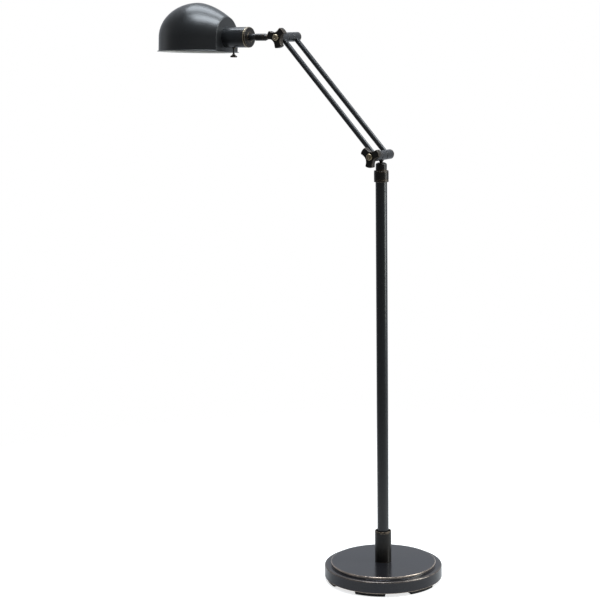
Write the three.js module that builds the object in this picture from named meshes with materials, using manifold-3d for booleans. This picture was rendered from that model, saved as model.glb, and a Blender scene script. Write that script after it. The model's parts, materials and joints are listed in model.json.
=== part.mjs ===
// Pharmacy floor lamp: a weighted round base, one straight pole, a swivelling two-rod arm and a
// half-dome shade on a tilting and rolling neck. Millimetres, +Z up, origin on the pole's axis at
// floor level. The arm and the head reach towards -X, and both hinge axes run along Y.
import * as THREE from "three";
import { mergeVertices } from "three/addons/utils/BufferGeometryUtils.js";
import Module from "manifold-3d";

const wasm = await Module();
wasm.setup();

// Facets round a full turn, by the size of the piece.
const ROUGH = 8;
const COARSE = 16;
const MEDIUM = 24;
const FINE = 48;

// Clearances.
const GAP = 0.3; // between fixed pieces that meet
const FIT = 0.25; // radial, round a shaft or a rod in its hole
const CUT = 2; // how far a cutting tool runs past the face it opens

// Base.
const baseRadius = 130;
const rimWidth = 13.8;
const footHeight = 8;
const rimTop = 34.1;
const baseTop = 40.5;
const shellWall = 1.5;
const rimFillet = 3.5;
const stepFillet = 2;
const weightThickness = 17.7;
const weightHubRadius = 30;
const coverThickness = 3.5;
const coverGap = 5;
const footWidth = 22;
const footInset = 4;
const footArc = 32;
const footCount = 6;
const firstFootAngle = -75;
const nutRecessRadius = 16;
const nutRecessDepth = 9.7;
const nutHeight = 6.5;
const nutRadius = 9.5;
const washerThickness = 1.6;
const washerRadius = 14;
const threadRadius = 5;
const threadBore = 3.2;
const threadEnd = 2;
const cordBore = 2.8;
const bushingRadius = 4.5;
const bushingFlange = 6.5;
const bushingFlangeThickness = 2.2;
const bushingChamfer = 1;
const bushingInside = 0.9;
const bushingHeight = 20;

// Pole.
const poleRadius = 12.5;
const poleWall = 1.2;
const baseCollarWall = 5.7;
const baseCollarTop = 110;
const baseCollarWeb = 9;
const cupLip = 2.5;
const cupChamfer = 0.8;
const cupDepth = 14;
const insertLength = 20;
const topCollarWall = 3.3;
const topCollarHeight = 24.7;
const collarLip = 4.2;
const collarChamfer = 0.9;
const plugLength = 30;
const bushFlange = 2;
const bushWall = 2.2;
const wireRadius = 2.2;
const wireClear = 8;

// Swivel on top of the pole.
const pinRadius = 3.2;
const capStep = 0.45;
const capHeight = 12.1;
const capDome = 4.9;
const capFlat = 0.8;
const stemRadius = 5.7;
const stemHeight = 4.3;
const stemLap = 3;
const hingeHeight = 941.3;
const swivelNutHeight = 7;
const swivelNutWall = 2;

// Barrel joints, the same at both ends of the arm.
const barrelRadius = 10.5;
const knuckleHalf = 9.7;
const frictionWasher = 0.8;
const washerInset = 0.6;
const rodInset = 8.5;
const rodEdge = 4.8;
const endCapThickness = 2.3;
const endCapRound = 1.6;
const screwRadius = 2.8;
const screwGrip = 6;
const rodSeatWall = 1.4;

// Arm.
const armLength = 342.3;
const armAngle = THREE.MathUtils.degToRad(47.07);
const rodRadius = 5.5;
const rodWall = 1;

// Clamp knobs.
const knobThickness = 13.5;
const knobBevel = 1.6;
const knobTip = 23;
const knobTipBulge = 1.6;
const knobLobeHalf = THREE.MathUtils.degToRad(19);
const knobWaist = 3.5;
const buttonRadius = 7.2;
const buttonHeight = 4.6;
const buttonRound = 3.6;
const buttonDome = 2.4;
const buttonSink = 1.2;
const lowerKnobAngle = 23;
const upperKnobAngle = 44;

// Roll of the head about the neck, which lifts the shade's rim on the knobs' side.
const headRoll = THREE.MathUtils.degToRad(-3.7);

// Neck, measured from the upper hinge axis along the neck.
const neckStemRadius = 5;
const neckPinRadius = 3.6;
const couplerStart = 54;
const couplerRadius = 7.8;
const couplerLength = 30;
const couplerChamfer = 5;
const couplerLap = 2.6;
const couplerLip = 0.6;
const neckTubeRadius = 7.2;
const neckTubeWall = 1;
const neckNutLength = 6;

// Socket.
const socketStart = 101;
const socketRadius = 22.6;
const socketWall = 1.2;
const socketCapDepth = 3.2;
const socketCapRound = 1.4;
const ringWidth = 1.8;
const ringProud = 0.3;
const socketEnd = 196;
const insulatorStart = 156;
const insulatorWeb = 8;
const insulatorBore = 2;
const insulatorInset = 4;
const shellRadius = 13.9;
const shellSheet = 0.6;
const bulbClearance = 0.4;
const bulbBaseLength = 25;
const contactRadius = 4;
const contactHeight = 4;
const bulbRadius = 24;
const bulbLength = 82;
const bulbWall = 0.8;
const bulbNeck = 0.4;

// Switch, on a vertical stem under the socket.
const switchPlace = 144;
const switchHousingRadius = 9;
const switchHousingHeight = 14;
const switchStemRadius = 2.1;
const switchBushRadius = 4.2;
const switchBushHeight = 2.2;
const switchKnobTop = 37;
const switchKnobRadius = 8;
const switchKnobHeight = 7.3;
const switchKnobSocket = 3.5;
const switchKnobEdge = 1.9;
const switchKnobWall = 1.2;
const switchKnobCollar = 1.5;

// Shade, measured from the upper hinge axis along the neck.
const shadeBack = 162.4;
const shadeBackRadius = 45.2;
const shadeWide = 241.3;
const shadeRadius = 77.8;
const shadeNose = 99.2;
const shadeSlope = 1.6;
const shadeWidthShare = 0.94;
const shadeSkirt = 32;
const shadeSheet = 1;
const shadeBead = 3.2;
const shadeBeadHeight = 2.6;
const shadeRingWidth = 5;
const shadeRingLength = 4;

// ---- Geometry helpers ----

// A closed geometry as a solid that can be joined and cut.
function solidOf(geometry) {
  const bare = geometry.clone();
  bare.deleteAttribute("normal");
  bare.deleteAttribute("uv");
  const merged = mergeVertices(bare, 1e-4);
  const index = merged.index.array;
  const kept = [];
  for (let i = 0; i < index.length; i += 3) {
    const [a, b, c] = [index[i], index[i + 1], index[i + 2]];
    if (a !== b && b !== c && c !== a) kept.push(a, b, c);
  }
  return new wasm.Manifold(
    new wasm.Mesh({
      numProp: 3,
      vertProperties: new Float32Array(merged.attributes.position.array),
      triVerts: new Uint32Array(kept),
    }),
  );
}

function geometryOf(solid) {
  const mesh = solid.getMesh();
  const geometry = new THREE.BufferGeometry();
  geometry.setAttribute("position", new THREE.BufferAttribute(mesh.vertProperties, 3));
  geometry.setIndex(new THREE.BufferAttribute(mesh.triVerts, 1));
  return geometry;
}

function cut(geometry, ...tools) {
  return geometryOf(tools.reduce((left, tool) => left.subtract(solidOf(tool)), solidOf(geometry)));
}

function join(geometry, ...others) {
  return geometryOf(others.reduce((all, other) => all.add(solidOf(other)), solidOf(geometry)));
}

// A profile of [radius, height] pairs turned about Z. It runs anticlockwise: out along the bottom,
// up the outside, in along the top and down the inside or the axis.
function turned(profile, facets = MEDIUM) {
  const points = profile.map(([radius, height]) => new THREE.Vector2(radius, height));
  if (profile[0][0] > 0) points.push(points[0].clone());
  return new THREE.LatheGeometry(points, facets).rotateX(Math.PI / 2);
}

function rod(radius, from, to, facets = MEDIUM) {
  return turned([[0, from], [radius, from], [radius, to], [0, to]], facets);
}

function tube(outer, inner, from, to, facets = MEDIUM) {
  return turned([[inner, from], [outer, from], [outer, to], [inner, to]], facets);
}

// Part of an ellipse in a profile, about a centre, from one angle to another in degrees.
function arc(radius, height, size, from, to, steps = 3, rise = size) {
  return Array.from({ length: steps + 1 }, (_, i) => {
    const angle = THREE.MathUtils.degToRad(from + ((to - from) * i) / steps);
    return [radius + size * Math.cos(angle), height + rise * Math.sin(angle)];
  });
}

// A hexagonal nut about Z.
function hexNut(radius, bore, from, to) {
  return cut(rod(radius, from, to, 6), rod(bore, from - CUT, to + CUT, COARSE));
}

// From the Z axis to the hinge axis, +Y.
function alongY(geometry) {
  return geometry.rotateX(-Math.PI / 2);
}

// From the Z axis to the neck's axis, -X.
function alongNeck(geometry) {
  return geometry.rotateY(-Math.PI / 2);
}

// From the Z axis to the arm's direction, away from the pole.
function alongArm(geometry) {
  return geometry.rotateY(armAngle - Math.PI / 2);
}

// ---- Finishes ----

const finishes = {
  bronze: { color: 0x201f1e, roughness: 0.38, metalness: 0.75 },
  darkBronze: { color: 0x241f1a, roughness: 0.55, metalness: 0.6 },
  shadeBronze: { color: 0x1b1e22, roughness: 0.42, metalness: 0.6 },
  wornBrass: { color: 0x8f7b58, roughness: 0.4, metalness: 0.85 },
  brass: { color: 0xb08d4a, roughness: 0.35, metalness: 1 },
  steel: { color: 0x9a9c9f, roughness: 0.35, metalness: 1 },
  iron: { color: 0x2b2b2b, roughness: 0.8, metalness: 0.5 },
  rubber: { color: 0x0b0b0b, roughness: 0.9, metalness: 0 },
  fibre: { color: 0x141312, roughness: 0.95, metalness: 0 },
  ceramic: { color: 0xe6e3db, roughness: 0.4, metalness: 0 },
  plastic: { color: 0x111111, roughness: 0.6, metalness: 0 },
  glass: { color: 0xf4f2ec, roughness: 0.2, metalness: 0 },
};

function piece(name, finish, geometry) {
  const mesh = new THREE.Mesh(geometry, new THREE.MeshStandardMaterial(finishes[finish]));
  mesh.name = name;
  return mesh;
}

function groupAt(position, ...pieces) {
  const group = new THREE.Group();
  group.position.copy(position);
  group.add(...pieces);
  return group;
}

// ---- Base ----

const baseStepRadius = baseRadius - rimWidth;
const coverRadius = baseRadius - footInset - footWidth - coverGap;
const weightRadius = baseRadius - shellWall - GAP;
const weightBottom = footHeight + GAP;
const weightTop = weightBottom + weightThickness;
const recessTop = weightBottom + nutRecessDepth;
const boltHole = threadRadius + FIT;
const collarBottom = baseTop + GAP;
const poleBottom = collarBottom + baseCollarWeb + GAP;

// Spun shell with a rounded rim and one step, open underneath.
function baseShell() {
  const inner = baseRadius - shellWall;
  const stepInner = baseStepRadius - shellWall;
  const shell = turned(
    [
      [inner, footHeight],
      [baseRadius, footHeight],
      ...arc(baseRadius - rimFillet, rimTop - rimFillet, rimFillet, 0, 90),
      [baseStepRadius, rimTop],
      ...arc(baseStepRadius - stepFillet, baseTop - stepFillet, stepFillet, 0, 90),
      [boltHole, baseTop],
      [boltHole, baseTop - shellWall],
      [stepInner - stepFillet, baseTop - shellWall],
      [stepInner, baseTop - shellWall - stepFillet],
      [stepInner, rimTop - shellWall],
      [inner - rimFillet, rimTop - shellWall],
      [inner, rimTop - shellWall - rimFillet],
    ],
    FINE,
  );
  const hole = alongY(rod(bushingRadius + FIT, inner - CUT, baseRadius + CUT, COARSE));
  return cut(shell, hole.translate(0, 0, bushingHeight));
}

// Iron disc with a hub under the pole, a recess for the nut and a slot for the cord.
function baseWeight() {
  const disc = turned(
    [
      [boltHole, recessTop],
      [nutRecessRadius, recessTop],
      [nutRecessRadius, weightBottom],
      [weightRadius, weightBottom],
      [weightRadius, weightTop],
      [weightHubRadius, weightTop],
      [weightHubRadius, baseTop - shellWall - GAP],
      [boltHole, baseTop - shellWall - GAP],
    ],
    FINE,
  );
  const slotWidth = 2 * (bushingFlange + GAP);
  const slotBottom = bushingHeight - slotWidth / 2;
  const slotLength = weightRadius + CUT;
  const slot = new THREE.BoxGeometry(slotWidth, slotLength, weightTop + CUT - slotBottom);
  const middle = (slotBottom + weightTop + CUT) / 2;
  return cut(disc, slot.translate(0, weightHubRadius + slotLength / 2, middle));
}

// A pad under the rim: a sector of a ring.
function footPad(angle) {
  const outer = baseRadius - footInset;
  const half = THREE.MathUtils.degToRad(footArc / 2);
  const sector = new THREE.Shape();
  sector.absarc(0, 0, outer, -half, half, false);
  sector.absarc(0, 0, outer - footWidth, half, -half, true);
  const pad = new THREE.ExtrudeGeometry(sector, {
    depth: footHeight,
    bevelEnabled: false,
    curveSegments: 5,
  });
  return pad.rotateZ(THREE.MathUtils.degToRad(angle));
}

// Grommet in the rim, where the supply cord comes out.
function cordBushing() {
  const inside = baseRadius - shellWall - bushingInside;
  const flange = baseRadius + GAP;
  const outside = flange + bushingFlangeThickness;
  const profile = [
    [cordBore, inside],
    [bushingRadius, inside],
    [bushingRadius, flange],
    [bushingFlange, flange],
    [bushingFlange - bushingChamfer, outside],
    [cordBore, outside],
  ];
  return alongY(turned(profile, COARSE)).translate(0, 0, bushingHeight);
}

function baseCollar() {
  const outer = poleRadius + baseCollarWall;
  const seat = poleRadius + FIT;
  return turned([
    [boltHole, collarBottom],
    [outer, collarBottom],
    [outer, baseCollarTop - cupChamfer],
    [outer - cupChamfer, baseCollarTop],
    [outer - cupLip, baseCollarTop],
    [outer - cupLip, baseCollarTop - cupDepth],
    [seat, baseCollarTop - cupDepth],
    [seat, collarBottom + baseCollarWeb],
    [boltHole, collarBottom + baseCollarWeb],
  ]);
}

function basePieces() {
  const threadBottom = weightBottom + GAP;
  const nutTop = recessTop - washerThickness - 2 * GAP;
  const insertBottom = poleBottom + GAP;
  const feet = Array.from({ length: footCount }, (_, i) =>
    piece(`foot_pad_${i + 1}`, "rubber", footPad(firstFootAngle + (360 / footCount) * i)),
  );
  const coverTop = weightBottom - GAP;
  return [
    piece("base_shell", "bronze", baseShell()),
    piece("base_weight", "iron", baseWeight()),
    piece("bottom_cover", "fibre", rod(coverRadius, coverTop - coverThickness, coverTop, FINE)),
    ...feet,
    piece(
      "threaded_tube",
      "steel",
      tube(threadRadius, threadBore, threadBottom, insertBottom + insertLength + threadEnd, COARSE),
    ),
    piece(
      "base_washer",
      "steel",
      tube(washerRadius, boltHole, recessTop - GAP - washerThickness, recessTop - GAP, COARSE),
    ),
    piece("base_nut", "steel", hexNut(nutRadius, boltHole, nutTop - nutHeight, nutTop)),
    piece("cord_bushing", "plastic", cordBushing()),
    piece("base_collar", "darkBronze", baseCollar()),
    piece(
      "pole_base_insert",
      "steel",
      tube(poleRadius - poleWall - FIT, boltHole, insertBottom, insertBottom + insertLength),
    ),
  ];
}

// ---- Pole and swivel ----

const barrelBottom = hingeHeight - barrelRadius;
const capTop = barrelBottom - stemHeight;
const capBottom = capTop - capDome - capHeight;
const collarTop = capBottom - GAP;
const topCollarBottom = collarTop - topCollarHeight;
const flangeTop = collarTop - collarLip - GAP;
const poleTop = flangeTop - bushFlange - GAP;
const plugBottom = poleTop - plugLength;
const pinBore = pinRadius + FIT;
const bushRadius = pinBore + bushWall;

function topCollar() {
  const outer = poleRadius + topCollarWall;
  const inner = poleRadius + FIT;
  return turned([
    [inner, topCollarBottom],
    [outer - collarChamfer, topCollarBottom],
    [outer, topCollarBottom + collarChamfer],
    [outer, collarTop - collarChamfer],
    [outer - collarChamfer, collarTop],
    [bushRadius + GAP, collarTop],
    [bushRadius + GAP, collarTop - collarLip],
    [inner, collarTop - collarLip],
  ]);
}

function swivelBush() {
  return turned(
    [
      [pinBore, plugBottom],
      [bushRadius, plugBottom],
      [bushRadius, poleTop + GAP],
      [poleRadius - poleWall, poleTop + GAP],
      [poleRadius - poleWall, flangeTop],
      [pinBore, flangeTop],
    ],
    COARSE,
  );
}

function swivelCap() {
  const outer = poleRadius - capStep;
  const flat = pinBore + capFlat;
  return turned([
    [pinBore, capBottom],
    [outer, capBottom],
    ...arc(flat, capTop - capDome, outer - flat, 0, 90, 3, capDome),
    [pinBore, capTop],
  ]);
}

// Middle section of a barrel joint, with the bore for the clamp screw.
function knuckleWith(...stems) {
  const middle = alongY(rod(barrelRadius, -knuckleHalf, knuckleHalf));
  const reach = knuckleHalf + CUT;
  return cut(join(middle, ...stems), alongY(rod(screwRadius + FIT, -reach, reach, COARSE)));
}

// The lower knuckle's stem narrows to the pin that turns in the pole.
function lowerKnuckle() {
  const top = stemLap - barrelRadius;
  const pinBottom = plugBottom - GAP - swivelNutHeight - hingeHeight;
  const stem = turned([
    [0, pinBottom],
    [pinRadius, pinBottom],
    [pinRadius, capTop - hingeHeight],
    [stemRadius, -barrelRadius],
    [stemRadius, top],
    [0, top],
  ]);
  return knuckleWith(stem);
}

function polePieces() {
  const nutTop = plugBottom - GAP;
  const nutBottom = nutTop - swivelNutHeight;
  const wireBottom = poleBottom + insertLength + wireClear;
  return [
    piece("pole_tube", "bronze", tube(poleRadius, poleRadius - poleWall, poleBottom, poleTop)),
    piece(
      "pole_top_plug",
      "steel",
      tube(poleRadius - poleWall - FIT, bushRadius + FIT, plugBottom, poleTop - GAP),
    ),
    piece("swivel_bush", "brass", swivelBush()),
    piece("top_collar", "darkBronze", topCollar()),
    piece("pole_wire", "plastic", rod(wireRadius, wireBottom, nutBottom - wireClear, ROUGH)),
    piece("swivel_cap", "darkBronze", swivelCap()),
    piece("swivel_nut", "steel", hexNut(bushRadius + swivelNutWall, pinBore, nutBottom, nutTop)),
    groupAt(new THREE.Vector3(0, 0, hingeHeight), piece("lower_knuckle", "bronze", lowerKnuckle())),
  ];
}

// ---- Barrel joints and arm ----

const washerStart = knuckleHalf + GAP;
const segmentStart = washerStart + frictionWasher + GAP;
const rodOffset = segmentStart + rodInset + rodRadius;
const barrelEnd = rodOffset + rodRadius + FIT + rodEdge;
const rodSeat = screwRadius + FIT + rodSeatWall;

// Outer section of a barrel on one side of the knuckle, with a blind hole for its rod.
function barrelSegment(side, towardsRod) {
  const body = tube(barrelRadius, screwRadius + FIT, segmentStart, barrelEnd);
  if (side < 0) body.rotateX(Math.PI);
  const hole = alongArm(rod(rodRadius + FIT, rodSeat - GAP, barrelRadius + CUT, COARSE));
  if (towardsRod < 0) hole.rotateY(Math.PI);
  return cut(alongY(body), hole.translate(0, side * rodOffset, 0));
}

function frictionRing(side) {
  const ring = tube(
    barrelRadius - washerInset,
    screwRadius + FIT,
    washerStart,
    washerStart + frictionWasher,
    COARSE,
  );
  return alongY(side < 0 ? ring.rotateX(Math.PI) : ring);
}

// Closes the barrel on the side away from the knob.
function barrelEndCap() {
  const start = barrelEnd + GAP;
  const end = start + endCapThickness;
  const profile = [
    [0, start],
    [barrelRadius, start],
    ...arc(barrelRadius - endCapRound, end - endCapRound, endCapRound, 0, 90, 2),
    [0, end],
  ];
  return alongY(turned(profile));
}

// Three flared lobes with hollow flanks between them.
function knobOutline() {
  const outline = new THREE.Shape();
  const spread = (2 * Math.PI) / 3;
  const tip = knobTip - knobBevel;
  const at = (radius, angle) => [radius * Math.cos(angle), radius * Math.sin(angle)];
  outline.moveTo(...at(tip, -knobLobeHalf));
  for (let lobe = 0; lobe < 3; lobe += 1) {
    const middle = lobe * spread;
    outline.quadraticCurveTo(...at(tip + knobTipBulge, middle), ...at(tip, middle + knobLobeHalf));
    outline.quadraticCurveTo(
      ...at(knobWaist, middle + spread / 2),
      ...at(tip, middle + spread - knobLobeHalf),
    );
  }
  return outline;
}

const knobFace = barrelEnd + GAP;
const knobFront = knobFace + knobThickness;

// Knob on the -Y end of the barrel, bored for its screw and recessed for its button.
function clampKnob(angle) {
  const body = new THREE.ExtrudeGeometry(knobOutline(), {
    depth: knobThickness - 2 * knobBevel,
    bevelThickness: knobBevel,
    bevelSize: knobBevel,
    bevelSegments: 1,
    curveSegments: 6,
  }).translate(0, 0, knobFace + knobBevel);
  const bore = rod(screwRadius + FIT, knobFace - CUT, knobFront - screwGrip / 2, COARSE);
  const recess = rod(buttonRadius + FIT, knobFront - buttonSink, knobFront + CUT, COARSE);
  const turn = THREE.MathUtils.degToRad(angle);
  return cut(body, bore, recess).rotateX(Math.PI / 2).rotateY(-turn);
}

function knobButton() {
  const start = knobFront - buttonSink + GAP;
  const crown = start + buttonHeight;
  const profile = [
    [0, start],
    [buttonRadius, start],
    ...arc(buttonRadius - buttonRound, crown - buttonDome, buttonRound, 0, 90, 3, buttonDome),
    [0, crown],
  ];
  return turned(profile, COARSE).rotateX(Math.PI / 2);
}

function clampScrew() {
  const screw = rod(screwRadius, -knobFront + screwGrip, barrelEnd - screwGrip / 2, COARSE);
  return alongY(screw);
}

// Everything of one barrel joint but its knuckle.
function barrelPieces(end, towardsRod, knobAngle) {
  return [
    piece(`${end}_near_barrel`, "bronze", barrelSegment(-1, towardsRod)),
    piece(`${end}_far_barrel`, "bronze", barrelSegment(1, towardsRod)),
    piece(`${end}_near_washer`, "steel", frictionRing(-1)),
    piece(`${end}_far_washer`, "steel", frictionRing(1)),
    piece(`${end}_end_cap`, "darkBronze", barrelEndCap()),
    piece(`${end}_clamp_knob`, "darkBronze", clampKnob(knobAngle)),
    piece(`${end}_knob_button`, "wornBrass", knobButton()),
    piece(`${end}_clamp_screw`, "steel", clampScrew()),
  ];
}

function armRod(name, side) {
  const shape = tube(rodRadius, rodRadius - rodWall, rodSeat, armLength - rodSeat, COARSE);
  const mesh = piece(name, "bronze", shape);
  mesh.rotation.y = armAngle - Math.PI / 2;
  mesh.position.y = side * rodOffset;
  return mesh;
}

const lowerHinge = new THREE.Vector3(0, 0, hingeHeight);
const upperHinge = lowerHinge
  .clone()
  .add(new THREE.Vector3(-Math.cos(armAngle), 0, Math.sin(armAngle)).multiplyScalar(armLength));

function armPieces() {
  return [
    groupAt(lowerHinge, ...barrelPieces("lower", 1, lowerKnobAngle)),
    groupAt(lowerHinge, armRod("near_rod", -1), armRod("far_rod", 1)),
    groupAt(upperHinge, ...barrelPieces("upper", -1, upperKnobAngle)),
  ];
}

// ---- Neck ----

const couplerEnd = couplerStart + couplerLength;
const stemEnd = couplerStart + couplerLap;
const neckPinEnd = couplerEnd + GAP + neckNutLength;
const neckTubeStart = couplerEnd + GAP;

function upperKnuckle() {
  const stem = turned(
    [
      [0, barrelRadius - stemLap],
      [neckStemRadius, barrelRadius - stemLap],
      [neckStemRadius, stemEnd],
      [neckPinRadius, stemEnd],
      [neckPinRadius, neckPinEnd],
      [0, neckPinEnd],
    ],
    COARSE,
  );
  return knuckleWith(alongNeck(stem));
}

// Sleeve that rolls on the neck's pin.
function swivelCoupler() {
  const mouth = neckStemRadius + FIT;
  const bore = neckPinRadius + FIT;
  const profile = [
    [mouth, couplerStart],
    [mouth + couplerLip, couplerStart],
    [couplerRadius, couplerStart + couplerChamfer],
    [couplerRadius, couplerEnd],
    [bore, couplerEnd],
    [bore, stemEnd + GAP],
    [mouth, stemEnd + GAP],
  ];
  return turned(profile, COARSE);
}

// What tilts with the arm's upper hinge but doesn't roll.
function neckPieces() {
  const radius = neckTubeRadius - neckTubeWall - FIT;
  const end = neckTubeStart + neckNutLength - GAP;
  const nut = hexNut(radius, neckPinRadius + FIT, neckTubeStart, end);
  return [
    piece("upper_knuckle", "bronze", upperKnuckle()),
    piece("neck_nut", "steel", alongNeck(nut)),
  ];
}

// The sleeve and the tube that carry the head, and roll with it.
function couplerPieces() {
  const inner = neckTubeRadius - neckTubeWall;
  const shape = tube(neckTubeRadius, inner, neckTubeStart, socketStart - GAP, COARSE);
  return [
    piece("swivel_coupler", "darkBronze", alongNeck(swivelCoupler())),
    piece("neck_tube", "bronze", alongNeck(shape)),
  ];
}

// ---- Socket, bulb and switch ----

const ringStart = socketStart + socketCapDepth + GAP;
const cupStart = ringStart + ringWidth + GAP;
const cupInner = socketRadius - socketWall;
const insulatorRadius = cupInner - FIT;
const shellStart = insulatorStart + insulatorWeb;
const insulatorEnd = socketEnd - insulatorInset;
const bulbBaseRadius = shellRadius - shellSheet - bulbClearance;
const bulbBaseStart = shellStart + contactHeight;
const bulbStart = bulbBaseStart + bulbBaseLength + GAP;

function socketEndCap() {
  const bore = neckTubeRadius - neckTubeWall;
  const round = socketCapRound;
  return turned([
    [bore, socketStart],
    ...arc(socketRadius - round, socketStart + round, round, -90, 0, 2),
    [socketRadius, socketStart + socketCapDepth],
    [bore, socketStart + socketCapDepth],
  ]);
}

// Straight cup, open at the front, with a hole below for the switch.
function socketCup() {
  const cup = alongNeck(tube(socketRadius, cupInner, cupStart, socketEnd));
  const hole = rod(switchStemRadius + 2 * FIT, -socketRadius - CUT, -cupInner + CUT, COARSE);
  return cut(cup, hole.translate(-switchPlace, 0, 0));
}

function insulator() {
  const profile = [
    [insulatorBore, insulatorStart],
    [insulatorRadius, insulatorStart],
    [insulatorRadius, insulatorEnd],
    [shellRadius + FIT, insulatorEnd],
    [shellRadius + FIT, shellStart],
    [insulatorBore, shellStart],
  ];
  return turned(profile);
}

// Pear-shaped bulb, open at the neck where its base closes it.
function bulbGlass() {
  const neck = bulbBaseRadius - bulbNeck;
  const widest = bulbStart + bulbLength - bulbRadius;
  const steps = 5;
  const outline = (wall) => {
    const shoulder = Array.from({ length: steps }, (_, i) => {
      const rise = THREE.MathUtils.smoothstep(i / steps, 0, 1);
      return [neck + (bulbRadius - neck) * rise - wall, bulbStart + ((widest - bulbStart) * i) / steps];
    });
    const crown = arc(0, widest, bulbRadius - wall, 0, 90, steps).slice(0, steps);
    return [...shoulder, ...crown, [0, widest + bulbRadius - wall]];
  };
  const points = [...outline(0), ...outline(bulbWall).reverse(), outline(0)[0]];
  const profile = points.map(([radius, height]) => new THREE.Vector2(radius, height));
  return new THREE.LatheGeometry(profile, COARSE).rotateX(Math.PI / 2);
}

function switchKnob() {
  const top = -switchKnobTop;
  const bottom = top - switchKnobHeight;
  const socket = switchStemRadius + FIT;
  const neck = socket + switchKnobWall;
  const edge = switchKnobEdge;
  return turned(
    [
      [0, bottom],
      ...arc(switchKnobRadius - edge, bottom + edge, edge, -90, 60, 4),
      [neck, top - switchKnobCollar],
      [neck, top],
      [socket, top],
      [socket, top - switchKnobSocket],
      [0, top - switchKnobSocket],
    ],
    COARSE,
  );
}

function socketPieces() {
  const housingBottom = GAP - Math.sqrt(cupInner ** 2 - switchHousingRadius ** 2);
  const housing = rod(switchHousingRadius, housingBottom, housingBottom + switchHousingHeight, COARSE);
  const bushTop = -socketRadius - GAP;
  const bush = tube(
    switchBushRadius,
    switchStemRadius + FIT,
    bushTop - switchBushHeight,
    bushTop,
    COARSE,
  );
  const stem = rod(
    switchStemRadius,
    -switchKnobTop - switchKnobSocket + GAP,
    housingBottom - GAP,
    COARSE,
  );
  return [
    piece("socket_end_cap", "darkBronze", alongNeck(socketEndCap())),
    piece(
      "socket_ring",
      "wornBrass",
      alongNeck(tube(socketRadius + ringProud, cupInner, ringStart, ringStart + ringWidth)),
    ),
    piece("socket_cup", "bronze", socketCup()),
    piece("socket_insulator", "ceramic", alongNeck(insulator())),
    piece(
      "screw_shell",
      "brass",
      alongNeck(tube(shellRadius, shellRadius - shellSheet, shellStart + GAP, insulatorEnd - GAP)),
    ),
    piece(
      "centre_contact",
      "brass",
      alongNeck(rod(contactRadius, shellStart + GAP, bulbBaseStart - GAP, COARSE)),
    ),
    piece(
      "bulb_base",
      "steel",
      alongNeck(rod(bulbBaseRadius, bulbBaseStart, bulbBaseStart + bulbBaseLength)),
    ),
    piece("bulb_glass", "glass", alongNeck(bulbGlass())),
    piece("switch_housing", "plastic", housing.translate(-switchPlace, 0, 0)),
    piece("switch_bush", "darkBronze", bush.translate(-switchPlace, 0, 0)),
    piece("switch_stem", "bronze", stem.translate(-switchPlace, 0, 0)),
    piece("switch_knob", "darkBronze", switchKnob().translate(-switchPlace, 0, 0)),
  ];
}

// ---- Shade ----

// The shade's half-profile as [distance along the neck, radius], set in by a wall thickness.
function shadeProfile(wall, slopeSteps = 5, noseSteps = 9) {
  const back = shadeBack + wall;
  const points = [];
  for (let i = 0; i < slopeSteps; i += 1) {
    const along = i / slopeSteps;
    const rise = 1 - (1 - along) ** shadeSlope;
    const radius = shadeBackRadius + (shadeRadius - shadeBackRadius) * rise;
    points.push([back + (shadeWide - back) * along, radius - wall]);
  }
  for (let i = 0; i <= noseSteps; i += 1) {
    const angle = (Math.PI / 2) * (i / noseSteps);
    const radius = i < noseSteps ? (shadeRadius - wall) * Math.cos(angle) : 0;
    points.push([shadeWide + (shadeNose - wall) * Math.sin(angle), radius]);
  }
  return points;
}

// One cross-section: up one straight side, over the half-ellipse and down the other side.
function shadeSection([along, radius], bottom, steps = 16) {
  const half = shadeWidthShare * radius;
  const section = [[-along, -half, bottom]];
  for (let i = 0; i <= steps; i += 1) {
    const angle = Math.PI * (1 - i / steps);
    section.push([-along, half * Math.cos(angle), Math.max(0, radius * Math.sin(angle))]);
  }
  section.push([-along, half, bottom]);
  return section;
}

// A closed solid through a row of cross-sections that ends in a vertical line at the nose.
function loft(sections) {
  const count = sections[0].length;
  const corners = [];
  const face = (a, b, c) => corners.push(...a, ...b, ...c);
  for (let i = 0; i + 1 < sections.length; i += 1) {
    for (let j = 0; j < count; j += 1) {
      const k = (j + 1) % count;
      face(sections[i][j], sections[i][k], sections[i + 1][k]);
      face(sections[i][j], sections[i + 1][k], sections[i + 1][j]);
    }
  }
  for (let j = 1; j + 1 < count; j += 1) face(sections[0][0], sections[0][j + 1], sections[0][j]);
  const geometry = new THREE.BufferGeometry();
  geometry.setAttribute("position", new THREE.BufferAttribute(new Float32Array(corners), 3));
  return geometry;
}

function shadeBody(wall, bottom) {
  return loft(shadeProfile(wall).map((station) => shadeSection(station, bottom)));
}

// The bead round the rim: the shade's outline in plan, grown outwards.
function shadeBeadBand() {
  const side = shadeProfile(0).map(([along, radius]) => [-along, shadeWidthShare * radius]);
  const outline = [...side, ...side.slice(0, -1).reverse().map(([x, y]) => [x, -y])];
  const centre = [-(shadeBack + shadeWide) / 2, 0];
  const grown = outline.map(([x, y], i) => {
    const [px, py] = outline[(i + outline.length - 1) % outline.length];
    const [nx, ny] = outline[(i + 1) % outline.length];
    const length = Math.hypot(nx - px, ny - py);
    const normal = [(ny - py) / length, (px - nx) / length];
    const outwards = normal[0] * (x - centre[0]) + normal[1] * (y - centre[1]) > 0 ? 1 : -1;
    return new THREE.Vector2(
      x + outwards * shadeBead * normal[0],
      y + outwards * shadeBead * normal[1],
    );
  });
  return new THREE.ExtrudeGeometry(new THREE.Shape(grown), {
    depth: shadeBeadHeight,
    bevelEnabled: false,
  }).translate(0, 0, -shadeSkirt);
}

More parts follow.
